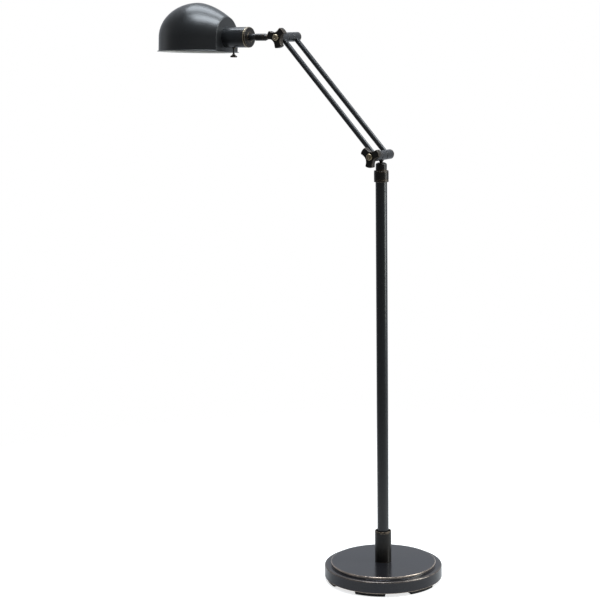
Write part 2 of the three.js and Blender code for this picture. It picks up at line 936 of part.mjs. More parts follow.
function shadeSolid() {
  const outside = join(shadeBody(0, -shadeSkirt), shadeBeadBand());
  const inside = shadeBody(shadeSheet, -shadeSkirt - CUT);
  const hole = alongNeck(rod(socketRadius + FIT, shadeBack - CUT, shadeBack + shadeSheet + CUT));
  return cut(outside, inside, hole);
}

function shadePieces() {
  const ringFrom = shadeBack + shadeSheet + GAP;
  const ringInner = socketRadius + FIT;
  const ring = tube(ringInner + shadeRingWidth, ringInner, ringFrom, ringFrom + shadeRingLength);
  return [
    piece("shade", "shadeBronze", shadeSolid()),
    piece("shade_ring", "steel", alongNeck(ring)),
  ];
}

const head = groupAt(upperHinge, ...couplerPieces(), ...socketPieces(), ...shadePieces());
head.rotation.x = headRoll;

const lamp = new THREE.Group();
lamp.add(...basePieces(), ...polePieces(), ...armPieces(), groupAt(upperHinge, ...neckPieces()), head);

export default lamp;
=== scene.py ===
"""The looks of a pharmacy floor lamp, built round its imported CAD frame. Metres, +Z up."""

import json
import math

import bmesh
import bpy
import numpy as np
from mathutils import Matrix, Vector


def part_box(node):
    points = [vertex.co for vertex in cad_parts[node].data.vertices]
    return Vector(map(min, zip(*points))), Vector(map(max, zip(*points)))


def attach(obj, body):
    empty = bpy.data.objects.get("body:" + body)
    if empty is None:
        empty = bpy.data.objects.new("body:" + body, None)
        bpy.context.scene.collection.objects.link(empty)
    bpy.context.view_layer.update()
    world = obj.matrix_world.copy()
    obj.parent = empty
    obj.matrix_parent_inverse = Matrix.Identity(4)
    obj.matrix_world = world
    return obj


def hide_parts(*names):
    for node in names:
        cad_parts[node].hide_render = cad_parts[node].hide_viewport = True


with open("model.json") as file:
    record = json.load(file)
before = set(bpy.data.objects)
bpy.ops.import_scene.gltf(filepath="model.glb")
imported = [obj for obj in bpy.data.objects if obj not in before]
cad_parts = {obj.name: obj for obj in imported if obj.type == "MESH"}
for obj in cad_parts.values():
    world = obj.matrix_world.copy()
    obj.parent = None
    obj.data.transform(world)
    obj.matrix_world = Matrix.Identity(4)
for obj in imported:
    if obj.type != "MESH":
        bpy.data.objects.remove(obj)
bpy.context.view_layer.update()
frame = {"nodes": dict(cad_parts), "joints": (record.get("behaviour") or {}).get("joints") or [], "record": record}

MM = 0.001

# ---- What the frame says ----

JOINTS = {joint["name"]: joint for joint in frame["joints"]}
LOWER_HINGE = Vector(JOINTS["arm_tilt"]["pos_m"])
UPPER_HINGE = Vector(JOINTS["head_tilt"]["pos_m"])
FLOOR = Vector((0, 0, 0))
UP = Vector((0, 0, 1))
HINGE = Vector((0, 1, 0))
NECK = Vector((-1, 0, 0))
ARM = (UPPER_HINGE - LOWER_HINGE).normalized()
HEAD_DOWN = Vector(JOINTS["switch_turn"]["axis"]).normalized()
HEAD_SIDE = HEAD_DOWN.cross(NECK)
SWITCH_AT = Vector(JOINTS["switch_turn"]["pos_m"])
SWITCH_AT -= HEAD_DOWN * (SWITCH_AT - UPPER_HINGE).dot(HEAD_DOWN)

BODY_OF = {n: body for body, nodes in frame["record"]["behaviour"]["bodies"].items() for n in nodes}
SLOT_OF = {part["node"]: part["material_slot"] for part in frame["record"]["subparts"]}

# ---- Sizes that the frame's boxes don't give, the same as in the CAD source ----

GAP = 0.3 * MM
FIT = 0.25 * MM
CUT = 2 * MM

SHELL_WALL = 1.5 * MM
RIM_WIDTH = 13.8 * MM
STEP_HEIGHT = 6.4 * MM
FOOT_WIDTH = 22 * MM
FOOT_ARC = math.radians(32)
FOOT_COUNT = 6
BUSHING_BORE = 2.8 * MM
BUSHING_RADIUS = 4.5 * MM
BUSHING_INSIDE = 2.7 * MM

POLE_WALL = 1.2 * MM
COLLAR_WEB = 9 * MM
CUP_LIP = 2.5 * MM
CUP_DEPTH = 14 * MM
COLLAR_LIP = 4.2 * MM
COLLAR_CHAMFER = 0.9 * MM
CAP_DOME = 4.9 * MM
CAP_FLAT = 0.8 * MM
CONE_RADIUS = 5.7 * MM
SWIVEL_PIN = 3.2 * MM
BUSH_WALL = 2.2 * MM
STEM_LAP = 3 * MM

SCREW_RADIUS = 2.8 * MM
SCREW_GRIP = 6 * MM
ROD_WALL = 1 * MM
END_CAP_ROUND = 1.6 * MM

KNOB_TIP = 23 * MM
KNOB_BULGE = 1.6 * MM
KNOB_WAIST = 3.5 * MM
KNOB_BEVEL = 1.6 * MM
KNOB_LOBE_HALF = math.radians(19)
KNOB_ANGLES = {"lower": math.radians(23), "upper": math.radians(44)}
BUTTON_SINK = 1.2 * MM
BUTTON_DOME = 2.4 * MM
BUTTON_ROUND = 3.6 * MM

NECK_STEM = 5 * MM
NECK_PIN = 3.6 * MM
COUPLER_LAP = 2.6 * MM
COUPLER_LIP = 0.6 * MM
COUPLER_CHAMFER = 5 * MM
SOCKET_WALL = 1.2 * MM
SOCKET_ROUND = 1.4 * MM
INSULATOR_WEB = 8 * MM
INSULATOR_BORE = 2 * MM
SHELL_RADIUS = 13.9 * MM
BULB_WALL = 0.8 * MM
SWITCH_EDGE = 1.9 * MM
SWITCH_WALL = 1.2 * MM
SWITCH_COLLAR = 1.5 * MM
SWITCH_SOCKET = 3.5 * MM

SHADE_BACK_RADIUS = 45.2 * MM
SHADE_SLOPE_LENGTH = 78.9 * MM
SHADE_SLOPE = 1.6
SHADE_WIDTH_SHARE = 0.94
SHADE_SKIRT = 32 * MM
SHADE_SHEET = 1 * MM
SHADE_BEAD = 3.2 * MM

# ---- Finer sizes, which only this model has ----

# Edge roundings, from crisp to full.
FAINT = 0.15 * MM
CRISP = 0.2 * MM
NEAT = 0.3 * MM
EASED = 0.4 * MM
SOFT = 0.5 * MM
SMOOTH = 0.6 * MM
FULL = 0.8 * MM

# Facets round a turned piece.
SLIM = 48
COARSE = 64
MEDIUM = 96
FINE = 128
LARGE = 192

# Grooves, each as its depth and half its width, and its distance from the nearer end.
CUP_GROOVE = (0.6 * MM, 0.75 * MM)
CUP_GROOVE_AT = 2.85 * MM
CUP_GROOVE_FLAT = 1 / 3
CUP_GROOVE_EDGE = 0.25 * MM
COLLAR_GROOVE = (0.45 * MM, 0.5 * MM)
COLLAR_GROOVE_LOW = 3.4 * MM
COLLAR_GROOVE_NEXT = 5.4 * MM
COLLAR_GROOVE_HIGH = 3.2 * MM
CAP_GROOVE = (0.35 * MM, 0.4 * MM)
CAP_GROOVE_AT = 2 * MM
COUPLER_GROOVE = (0.4 * MM, 0.5 * MM)
COUPLER_GROOVE_AT = 4 * MM
SOCKET_GROOVE = (0.45 * MM, 0.6 * MM)
SOCKET_GROOVE_AT = 4.2 * MM
END_GROOVE_INSET = 3 * MM
END_GROOVE_WIDTH = 1.8 * MM
END_GROOVE_SLOPE = 0.4 * MM
END_GROOVE_DEPTH = 0.5 * MM

RIM_FOOT = 0.7 * MM
RIM_ROUND = 2.6 * MM
RIM_INSIDE = 2 * MM
RIM_CUT = 3 * MM
STEP_ROUND = 1.5 * MM
STEP_FILLET = 1 * MM
COVER_ROUND = 0.9 * MM
BUSHING_ROUND = 1.2 * MM
BUSHING_MOUTH = 0.7 * MM
CUP_FLOOR = 1.2 * MM
BARREL_EDGE = 0.45 * MM

# The foot pads' heights and insets in millimetres, down their leaning sides and round the edge.
FOOT_PROFILE = ((1.2, 0.9), (0.6, 1.15), (0.2, 1.5), (0, 2.1))
FOOT_END_LEAN = 1.6

DIMPLE_RADIUS = 1.5 * MM
DIMPLE_WALL = 0.6 * MM
DIMPLE_DEPTH = 1.3 * MM

BULB_NECK = 12.5 * MM
BULB_TIP = 4.5 * MM
BULB_TAPER = 3 * MM
BULB_FOOT = 5 * MM
BULB_COLLAR = 3 * MM
THREAD_PITCH = 3.6 * MM
THREAD_DEPTH = 0.45 * MM
THREAD_STEPS = 8

SWITCH_FLARE = 1.2 * MM
SWITCH_RISE = 1 * MM
SWITCH_SWEEP = 1.5 * MM

SHADE_CREASE = 3 * MM
SHADE_INSET = 0.15 * MM
LIP_RADIUS = 2.6 * MM
LIP_CLEAR = 0.6 * MM
LIP_SWEEP = math.radians(84)
LIP_FLANGE_OUT = 0.55 * MM
LIP_FLANGE_DOWN = 0.05 * MM
SAME_POINT = 0.02 * MM

# ---- Camera ----

CAMERA_AT = Vector((1.78059, -3.08409, 1.23526))
CAMERA_AZIMUTH = math.radians(32.856)
CAMERA_PITCH = math.radians(9.650)
CAMERA_ROLL = math.radians(-0.767)
LENS = 99.93
SENSOR_WIDTH = 36


def make_camera():
    forward = Vector(
        (
            -math.sin(CAMERA_AZIMUTH) * math.cos(CAMERA_PITCH),
            math.cos(CAMERA_AZIMUTH) * math.cos(CAMERA_PITCH),
            -math.sin(CAMERA_PITCH),
        )
    )
    level = Vector((math.cos(CAMERA_AZIMUTH), math.sin(CAMERA_AZIMUTH), 0))
    upright = level.cross(forward)
    right = level * math.cos(CAMERA_ROLL) + upright * math.sin(CAMERA_ROLL)
    up = upright * math.cos(CAMERA_ROLL) - level * math.sin(CAMERA_ROLL)
    camera = bpy.data.objects.new("camera", bpy.data.cameras.new("camera"))
    camera.data.lens = LENS
    camera.data.sensor_width = SENSOR_WIDTH
    axes = Matrix((right, up, -forward)).transposed()
    camera.matrix_world = Matrix.Translation(CAMERA_AT) @ axes.to_4x4()
    bpy.context.scene.collection.objects.link(camera)
    bpy.context.scene.camera = camera
    return forward, level


LOOK, LOOK_RIGHT = make_camera()

# ---- Material nodes ----


class Shader:
    """A node material with one Principled shader, and short ways to add nodes to it."""

    def __init__(self, name, **constants):
        self.material = bpy.data.materials.new(name)
        self.material.use_nodes = True
        self.tree = self.material.node_tree
        self.surface = self.tree.nodes["Principled BSDF"]
        for socket, value in constants.items():
            self.surface.inputs[socket.replace("_", " ")].default_value = value

    def add(self, kind, inputs=None, **settings):
        node = self.tree.nodes.new(kind)
        for key, value in settings.items():
            setattr(node, key, value)
        for socket, value in (inputs or {}).items():
            if isinstance(value, bpy.types.NodeSocket):
                self.tree.links.new(value, node.inputs[socket])
            else:
                node.inputs[socket].default_value = value
        return node

    def place(self, stretch=(1, 1, 1)):
        """Object coordinates, where a stretch below 1 draws a pattern out along that axis."""
        coordinates = self.add("ShaderNodeTexCoord").outputs["Object"]
        inputs = {"Vector": coordinates, "Scale": stretch}
        return self.add("ShaderNodeMapping", inputs).outputs["Vector"]

    def noise(self, vector, scale, detail=4.0, rough=0.55):
        inputs = {"Vector": vector, "Scale": scale, "Detail": detail, "Roughness": rough}
        return self.add("ShaderNodeTexNoise", inputs).outputs["Fac"]

    def ramp(self, value, low, high, to_low=0.0, to_high=1.0):
        inputs = {
            "Value": value,
            "From Min": low,
            "From Max": high,
            "To Min": to_low,
            "To Max": to_high,
        }
        return self.add("ShaderNodeMapRange", inputs).outputs["Result"]

    def math(self, operation, one, two):
        return self.add("ShaderNodeMath", {0: one, 1: two}, operation=operation).outputs[0]

    def mix(self, share, one, two):
        node = self.add("ShaderNodeMix", {"Factor": share}, data_type="RGBA")
        for socket, value in ((node.inputs[6], one), (node.inputs[7], two)):
            if isinstance(value, bpy.types.NodeSocket):
                self.tree.links.new(value, socket)
            else:
                socket.default_value = (*value, 1)
        return node.outputs[2]

    def attribute(self, name):
        return self.add("ShaderNodeAttribute", attribute_name=name).outputs["Fac"]

    def bump(self, *heights):
        """Bumps one on another, each as (height, distance in metres)."""
        normal = None
        for height, distance in heights:
            inputs = {"Height": height, "Distance": distance, "Strength": 1.0}
            if normal:
                inputs["Normal"] = normal
            normal = self.add("ShaderNodeBump", inputs).outputs["Normal"]
        self.tree.links.new(normal, self.surface.inputs["Normal"])

    def drive(self, **sockets):
        for socket, value in sockets.items():
            self.tree.links.new(value, self.surface.inputs[socket.replace("_", " ")])
        return self.material


# Bump depths and roughness changes of the rubbed bronze.
LINE_DEPTH = 0.0015 * MM
SPECKLE_DEPTH = 0.001 * MM
MOTTLE_DEPTH = 0.002 * MM
ROUGH_SPREAD = 0.02
STREAK_SPREAD = 0.015
WORN_METAL = 0.95
DRAWN_DEPTH = 0.02 * MM


def patina(
    name,
    dark,
    warm,
    rub_and_highlight_color,
    rough,
    metal=0.5,
    stretch=(1, 1, 0.03),
    wear_and_highlight_strength=0.3,
    blotch=0.0,
    peel=1.0,
    coat=0.5,
    coat_rough=0.2,
):
    """Rubbed bronze: clouds of two near-black tones, fine brush lines, and brass showing at edges; where the edge
    share is strong, that edge colour is also a painted highlight.
    """
    shader = Shader(name, IOR=1.5, Coat_Weight=coat, Coat_Roughness=coat_rough, Coat_IOR=1.5)
    even = shader.place()
    cloud = shader.noise(even, scale=14, detail=5)
    mottle = shader.noise(even, scale=90, detail=6, rough=0.62)
    speckle = shader.noise(even, scale=1500, rough=0.6)
    lines = shader.noise(shader.place(stretch), scale=1100, detail=3)
    tone = shader.mix(shader.ramp(cloud, 0.35, 0.68), dark, warm)
    tone = shader.mix(shader.ramp(mottle, 0.5, 0.72, to_high=blotch), tone, rub_and_highlight_color)
    torn = shader.ramp(mottle, 0.34, 0.6, to_low=0.35)
    # Edge colour share: worn brass, and on the base plate also a painted highlight along the edges.
    wear_and_painted_highlight = shader.math("MULTIPLY", shader.attribute("edge"), torn)
    wear_and_painted_highlight = shader.math("MULTIPLY", wear_and_painted_highlight, wear_and_highlight_strength)
    color = shader.mix(wear_and_painted_highlight, tone, rub_and_highlight_color)
    base = shader.ramp(mottle, 0.3, 0.7, rough - ROUGH_SPREAD, rough + ROUGH_SPREAD)
    streaks = shader.ramp(lines, 0.3, 0.7, -STREAK_SPREAD, STREAK_SPREAD)
    roughness = shader.math("ADD", base, streaks)
    metallic = shader.ramp(wear_and_painted_highlight, 0, 1, metal, WORN_METAL)
    shader.bump((lines, LINE_DEPTH * peel), (speckle, SPECKLE_DEPTH * peel), (mottle, MOTTLE_DEPTH * peel))
    return shader.drive(Base_Color=color, Roughness=roughness, Metallic=metallic)


def metal(name, color, tint, rough, stretch=(1, 1, 0.05), **constants):
    """Bare plated metal with drawn lines and light tarnish."""
    shader = Shader(name, Metallic=1.0, **constants)
    even = shader.place()
    cloud = shader.noise(even, scale=60, detail=5)
    lines = shader.noise(shader.place(stretch), scale=1200, detail=3)
    tone = shader.mix(shader.ramp(cloud, 0.35, 0.7), color, tint)
    roughness = shader.ramp(cloud, 0.3, 0.7, rough - 0.06, rough + 0.1)
    shader.bump((lines, DRAWN_DEPTH))
    return shader.drive(Base_Color=tone, Roughness=roughness)


def moulded(name, color, tint, rough, grain_scale, grain, **constants):
    """A dull or glazed body with a fine grain of its own, its depth in millimetres."""
    shader = Shader(name, **constants)
    even = shader.place()
    cloud = shader.noise(even, scale=70)
    pits = shader.noise(even, grain_scale, detail=5, rough=0.6)
    tone = shader.mix(shader.ramp(cloud, 0.35, 0.7), color, tint)
    roughness = shader.ramp(pits, 0.3, 0.7, rough - 0.06, rough + 0.06)
    shader.bump((pits, grain * MM))
    return shader.drive(Base_Color=tone, Roughness=roughness)


BRONZE_RUB = (0.34, 0.25, 0.17)
COOL = (0.018, 0.020, 0.023)
MATERIALS = {
    "bronze": patina("bronze", COOL, (0.022, 0.022, 0.0225), BRONZE_RUB, rough=0.32, wear_and_highlight_strength=0.1),
    "dark_bronze": patina(
        "dark_bronze",
        (0.010, 0.0092, 0.0085),
        (0.018, 0.0145, 0.0115),
        BRONZE_RUB,
        rough=0.34,
        wear_and_highlight_strength=0.5,
        blotch=0.02,
        coat=0.15,
    ),
    "shade_bronze": patina(
        "shade_bronze",
        (0.021, 0.0225, 0.024),
        (0.027, 0.0275, 0.028),
        (0.10, 0.11, 0.12),
        rough=0.37,
        stretch=(0.04, 1, 1),
        wear_and_highlight_strength=0.5,
        coat_rough=0.28,
    ),
    "worn_brass": patina(
        "worn_brass", (0.30, 0.24, 0.15), (0.46, 0.38, 0.26), (0.66, 0.57, 0.42), rough=0.38, metal=0.9
    ),
    # The light edge colour and its strong share are worn brass and also a painted highlight along the rim and step
    # edges.
    "plate": patina(
        "base_plate_rub_and_painted_highlight",
        (0.020, 0.020, 0.025),
        (0.027, 0.026, 0.029),
        (0.62, 0.50, 0.41),
        rough=0.2,
        stretch=(0.02, 1, 1),
        wear_and_highlight_strength=2.2,
        peel=0.3,
        coat=0.2,
    ),
    "brass": metal("brass", (0.72, 0.50, 0.22), (0.55, 0.36, 0.15), rough=0.28),
    "steel": metal("steel", (0.50, 0.50, 0.50), (0.38, 0.38, 0.37), rough=0.34),
    "iron": moulded(
        "iron", (0.035, 0.034, 0.033), (0.06, 0.05, 0.045), rough=0.78, grain_scale=350, grain=0.35
    ),
    "rubber": moulded(
        "rubber", (0.008, 0.008, 0.008), (0.016, 0.016, 0.015), rough=0.78, grain_scale=900, grain=0.12
    ),
    "fibre": moulded(
        "fibre", (0.014, 0.013, 0.012), (0.03, 0.028, 0.026), rough=0.93, grain_scale=1500, grain=0.5
    ),
    "ceramic": moulded(
        "ceramic",
        (0.80, 0.77, 0.70),
        (0.70, 0.66, 0.58),
        rough=0.3,
        grain_scale=200,
        grain=0.05,
        Coat_Weight=0.5,
    ),
    "plastic": moulded(
        "plastic", (0.010, 0.010, 0.010), (0.018, 0.018, 0.018), rough=0.5, grain_scale=700, grain=0.05
    ),
    "bulb_glass": moulded(
        "bulb_glass",
        (0.86, 0.86, 0.84),
        (0.80, 0.80, 0.77),
        rough=0.22,
        grain_scale=500,
        grain=0.02,
        Transmission_Weight=0.25,
        Coat_Weight=0.6,
    ),
}
ENAMEL = moulded(
    "enamel",
    (0.78, 0.77, 0.73),
    (0.70, 0.69, 0.64),
    rough=0.34,
    grain_scale=260,
    grain=0.05,
    Coat_Weight=0.3,
)

# ---- Mesh helpers ----

# Bends, in radians for each metre, where the edge colour, worn brass and painted highlight, starts and where it is
# full.
CURVED_FROM = 260.0
CURVED_TO = 1300.0
SHARP = math.radians(34)
GUARD = 0.5 * MM
# Greatest share of a side that one of its ends may round off, and a fillet's guards against its reach.
END_SHARE = 0.45
GUARD_SHARE = 1.6
ON_AXIS = 1e-7
NO_LENGTH = 1e-12


def span(node, origin, axis):
    """A node's greatest radius about an axis through origin, and its two ends along it."""
    points = np.array([vertex.co - origin for vertex in frame["nodes"][node].data.vertices])
    along = points @ np.array(axis)
    radius = np.linalg.norm(points - np.outer(along, axis), axis=1).max()
    return float(radius), float(along.min()), float(along.max())


def mesh_object(name, vertices, faces):
    mesh = bpy.data.meshes.new(name)
    mesh.from_pydata([tuple(v) for v in vertices], [], [tuple(f) for f in faces])
    piece = bpy.data.objects.new(name, mesh)
    bpy.context.scene.collection.objects.link(piece)
    return piece


def bake(piece):
    """Puts the modifiers' result in the piece's own mesh."""
    bpy.context.view_layer.update()
    graph = bpy.context.evaluated_depsgraph_get()
    mesh = bpy.data.meshes.new_from_object(piece.evaluated_get(graph))
    piece.modifiers.clear()
    piece.data = mesh


def mark_edges(mesh):
    """Writes how sharply each vertex bends outwards, from 0 to 1, as the attribute edge."""
    count = len(mesh.vertices)
    at = np.zeros(count * 3)
    mesh.vertices.foreach_get("co", at)
    at = at.reshape(-1, 3)
    facing = np.zeros(count * 3)
    mesh.vertices.foreach_get("normal", facing)
    facing = facing.reshape(-1, 3)
    ends = np.zeros(len(mesh.edges) * 2, int)
    mesh.edges.foreach_get("vertices", ends)
    one, two = ends.reshape(-1, 2).T
    step = at[two] - at[one]
    bend = ((facing[two] - facing[one]) * step).sum(1) / np.maximum((step**2).sum(1), NO_LENGTH)
    most = np.zeros(count)
    np.maximum.at(most, one, bend)
    np.maximum.at(most, two, bend)
    share = np.clip((most - CURVED_FROM) / (CURVED_TO - CURVED_FROM), 0, 1)
    attribute = mesh.attributes.new("edge", "FLOAT", "POINT")
    attribute.data.foreach_set("value", share)


def stand_for(piece, node):
    """Puts the piece in the node's place: its body and, if it has none yet, the material of the node's slot."""
    if not piece.data.materials:
        piece.data.materials.append(MATERIALS[SLOT_OF[node]])
    piece.data.shade_smooth()
    piece.data.set_sharp_from_angle(angle=SHARP)
    if "edge" not in piece.data.attributes:
        mark_edges(piece.data)
    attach(piece, BODY_OF[node])
    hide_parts(node)


def guards(corner, side, reach):
    """Two points beside a bend, which keep its worn-brass and painted-highlight edge colour and its shading off
    the long face beyond.
    """
    if 2 * reach > END_SHARE * side.length:
        return []
    return [corner + side.normalized() * reach, corner + side.normalized() * (2 * reach)]


def rounded(corners, steps=5):
    """A profile's points, where each corner (radius, along, fillet) becomes an arc between guards."""
    closed = corners[0][0] > 0 and corners[-1][0] > 0
    last = len(corners) - 1
    points = []
    for i, (radius, along, *fillet) in enumerate(corners):
        here = Vector((radius, along))
        if not closed and i in (0, last):
            points.append(here)
            continue
        back = Vector(corners[i - 1][:2]) - here
        on = Vector(corners[(i + 1) % len(corners)][:2]) - here
        if not fillet:
            points += [*guards(here, back, GUARD)[::-1], here, *guards(here, on, GUARD)]
            continue
        half = back.angle(on) / 2
        reach = min(fillet[0] / math.tan(half), END_SHARE * back.length, END_SHARE * on.length)
        size = reach * math.tan(half)
        centre = here + (back.normalized() + on.normalized()).normalized() * (size / math.sin(half))
        start = here + back.normalized() * reach - centre
        end = here + on.normalized() * reach - centre
        sweep = math.pi - 2 * half
        points += guards(here, back, GUARD_SHARE * reach)[::-1]
        for k in range(steps + 1):
            part = sweep * k / steps
            spoke = start * math.sin(sweep - part) + end * math.sin(part)
            points.append(centre + spoke / math.sin(sweep))
        points += guards(here, on, GUARD_SHARE * reach)
    return points


def ellipse(radius, along, wide, high, start, end, steps=12):
    """Points of a profile on part of an ellipse, angles in degrees."""
    angles = [math.radians(start + (end - start) * k / steps) for k in range(steps + 1)]
    return [(radius + wide * math.cos(a), along + high * math.sin(a)) for a in angles]


def groove(radius, at, depth, half, flat=0.5, edge=FAINT, bed=FAINT):
    """A round-edged groove in an upright wall, as profile corners on the way up."""
    return [
        (radius, at - half, edge),
        (radius - depth, at - half * flat, bed),
        (radius - depth, at + half * flat, bed),
        (radius, at + half, edge),
    ]


def turned(name, corners, origin, axis, facets=MEDIUM):
    """A solid of revolution: its profile ends on the axis, or closes on itself."""
    profile = rounded(corners)
    closed = profile[0][0] > ON_AXIS and profile[-1][0] > ON_AXIS
    side = axis.orthogonal().normalized()
    other = axis.cross(side)
    spokes = []
    for k in range(facets):
        angle = 2 * math.pi * k / facets
        spokes.append(side * math.cos(angle) + other * math.sin(angle))
    vertices = []
    rings = []
    for radius, along in profile:
        first = len(vertices)
        centre = origin + axis * along
        if radius < ON_AXIS:
            vertices.append(centre)
            rings.append([first] * facets)
        else:
            vertices += [centre + spoke * radius for spoke in spokes]
            rings.append(list(range(first, first + facets)))
    faces = []
    for low, high in zip(rings, rings[1:] + (rings[:1] if closed else [])):
        for k in range(facets):
            n = (k + 1) % facets
            corner = [low[k], low[n], high[n], high[k]]
            face = [v for i, v in enumerate(corner) if v not in corner[:i]]
            if len(face) > 2:
                faces.append(face)
    piece = mesh_object(name, vertices, faces)
    turn_out(piece)
    return piece


def turn_out(piece):
    """Makes every face of a closed mesh face outwards."""
    mesh = piece.data
    mesh.calc_loop_triangles()
    volume = 0.0
    for triangle in mesh.loop_triangles:
        a, b, c = (mesh.vertices[i].co for i in triangle.vertices)
        volume += a.dot(b.cross(c))
    if volume < 0:
        mesh.flip_normals()


def combine(piece, tool, operation):
    """Joins or cuts, once the piece's own edges are marked for worn brass and painted highlight, so that a cut's
    edge shows neither.
    """
    for shape in (piece, tool):
        if "edge" not in shape.data.attributes:
            mark_edges(shape.data)
    modifier = piece.modifiers.new("combine", "BOOLEAN")
    modifier.object = tool
    modifier.operation = operation
    modifier.solver = "EXACT"
    bake(piece)
    bpy.data.objects.remove(tool)


def bore(piece, radius, start, end, origin, axis):
    """Cuts a round hole about an axis through origin, from start to end along it."""
    tool = turned("tool", [(0, start), (radius, start), (radius, end), (0, end)], origin, axis, COARSE)
    combine(piece, tool, "DIFFERENCE")


def turned_for(node, corners, origin, axis, facets=MEDIUM):
    """A turned piece that takes the node's place."""
    stand_for(turned(f"{node}_fine", corners, origin, axis, facets), node)


def stacked(name, loops):
    """A closed solid whose sides join equal loops of points, one after another."""
    ring = len(loops[0])
    vertices = [point for loop in loops for point in loop]
    faces = [tuple(range(ring)), tuple(range(len(vertices) - 1, len(vertices) - ring - 1, -1))]
    for first in range(0, len(vertices) - ring, ring):
        for k in range(ring):
            n = (k + 1) % ring
            faces.append((first + k, first + ring + k, first + ring + n, first + n))
    piece = mesh_object(name, vertices, faces)
    turn_out(piece)
    return piece


# ---- Base ----


def make_base_shell():
    radius, low, high = span("base_shell", FLOOR, UP)
    tube, _, _ = span("threaded_tube", FLOOR, UP)
    middle = tube + FIT
    rim = high - STEP_HEIGHT
    step = radius - RIM_WIDTH
    inner = radius - SHELL_WALL
    corners = [
        (inner, low, SOFT),
        (radius, low, RIM_FOOT),
        (radius, rim, RIM_ROUND),
        (step, rim, STEP_FILLET),
        (step, high, STEP_ROUND),
        (middle, high),
        (middle, high - SHELL_WALL),
        (step - SHELL_WALL, high - SHELL_WALL, STEP_FILLET),
        (step - SHELL_WALL, rim - SHELL_WALL),
        (inner, rim - SHELL_WALL, RIM_INSIDE),
    ]
    shell = turned("base_shell_fine", corners, FLOOR, UP, LARGE)
    low_corner, high_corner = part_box("cord_bushing")
    centre = Vector((0, 0, (low_corner.z + high_corner.z) / 2))
    bore(shell, BUSHING_RADIUS + FIT, inner - RIM_CUT, radius + RIM_CUT, centre, HINGE)
    shell.data.materials.clear()
    shell.data.materials.append(MATERIALS["plate"])
    stand_for(shell, "base_shell")


def make_bottom_cover():
    radius, low, high = span("bottom_cover", FLOOR, UP)
    corners = [(0, low), (radius, low, COVER_ROUND), (radius, high, EASED), (0, high)]
    turned_for("bottom_cover", corners, FLOOR, UP, FINE)


def make_foot_pad(node, steps=28):
    """A sector of a ring with ends and sides that lean in towards the floor."""
    low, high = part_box(node)
    centre = (low + high) / 2
    middle = math.atan2(centre.y, centre.x)
    outer, bottom, top = span(node, FLOOR, UP)
    rows = [(top, 0)] + [(bottom + height * MM, inset * MM) for height, inset in FOOT_PROFILE]
    loops = []
    for height, inset in rows:
        half = FOOT_ARC / 2 - FOOT_END_LEAN * inset / outer
        loop = []
        for radius, way in ((outer - inset, 1), (outer - FOOT_WIDTH + inset, -1)):
            for k in range(steps + 1):
                angle = middle + way * half * (2 * k / steps - 1)
                loop.append((radius * math.cos(angle), radius * math.sin(angle), height))
        loops.append(loop)
    stand_for(stacked(f"{node}_fine", loops), node)


def make_cord_bushing():
    low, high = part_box("cord_bushing")
    centre = Vector((0, 0, (low.z + high.z) / 2))
    flange, inside, outside = span("cord_bushing", centre, HINGE)
    seat = inside + BUSHING_INSIDE
    corners = [
        (BUSHING_BORE, inside, NEAT),
        (BUSHING_RADIUS, inside, NEAT),
        (BUSHING_RADIUS, seat),
        (flange, seat, NEAT),
        (flange, outside, BUSHING_ROUND),
        (BUSHING_BORE, outside, BUSHING_MOUTH),
    ]
    turned_for("cord_bushing", corners, centre, HINGE, COARSE)


def make_base_collar():
    radius, low, high = span("base_collar", FLOOR, UP)
    pole, _, _ = span("pole_tube", FLOOR, UP)
    bolt, _, _ = span("threaded_tube", FLOOR, UP)
    cup = radius - CUP_LIP
    seat = pole + FIT
    ring = groove(radius, high - CUP_GROOVE_AT, *CUP_GROOVE, CUP_GROOVE_FLAT, CUP_GROOVE_EDGE, CRISP)
    corners = [
        (bolt + FIT, low),
        (radius, low, SMOOTH),
        *ring,
        (radius, high, FULL),
        (cup, high, SOFT),
        (cup, high - CUP_DEPTH, CUP_FLOOR),
        (seat, high - CUP_DEPTH, NEAT),
        (seat, low + COLLAR_WEB),
        (bolt + FIT, low + COLLAR_WEB),
    ]
    turned_for("base_collar", corners, FLOOR, UP, FINE)


# ---- Pole and swivel ----


def make_pole_tube():
    radius, low, high = span("pole_tube", FLOOR, UP)
    inner = radius - POLE_WALL
    corners = [(inner, low), (radius, low, EASED), (radius, high, EASED), (inner, high)]
    turned_for("pole_tube", corners, FLOOR, UP, FINE)


def make_top_collar():
    radius, low, high = span("top_collar", FLOOR, UP)
    pole, _, _ = span("pole_tube", FLOOR, UP)
    inner = pole + FIT
    mouth = SWIVEL_PIN + FIT + BUSH_WALL + GAP
    corners = [
        (inner, low),
        (radius - COLLAR_CHAMFER, low, NEAT),
        (radius, low + COLLAR_CHAMFER, NEAT),
        *groove(radius, low + COLLAR_GROOVE_LOW, *COLLAR_GROOVE),
        *groove(radius, low + COLLAR_GROOVE_NEXT, *COLLAR_GROOVE),
        *groove(radius, high - COLLAR_GROOVE_HIGH, *COLLAR_GROOVE),
        (radius, high - COLLAR_CHAMFER, NEAT),
        (radius - COLLAR_CHAMFER, high, NEAT),
        (mouth, high, NEAT),
        (mouth, high - COLLAR_LIP),
        (inner, high - COLLAR_LIP),
    ]
    turned_for("top_collar", corners, FLOOR, UP, FINE)


def make_swivel_cap():
    radius, low, high = span("swivel_cap", FLOOR, UP)
    pin = SWIVEL_PIN + FIT
    flat = pin + CAP_FLAT
    corners = [
        (pin, low),
        (radius, low, SOFT),
        *groove(radius, low + CAP_GROOVE_AT, *CAP_GROOVE),
        *ellipse(flat, high - CAP_DOME, radius - flat, CAP_DOME, 0, 90, steps=16),
        (pin, high, NEAT),
    ]
    turned_for("swivel_cap", corners, FLOOR, UP, FINE)


def knuckle_barrel(name, hinge, radius, half):
    corners = [(0, -half), (radius, -half, SOFT), (radius, half, SOFT), (0, half)]
    return turned(name, corners, hinge, HINGE, FINE)


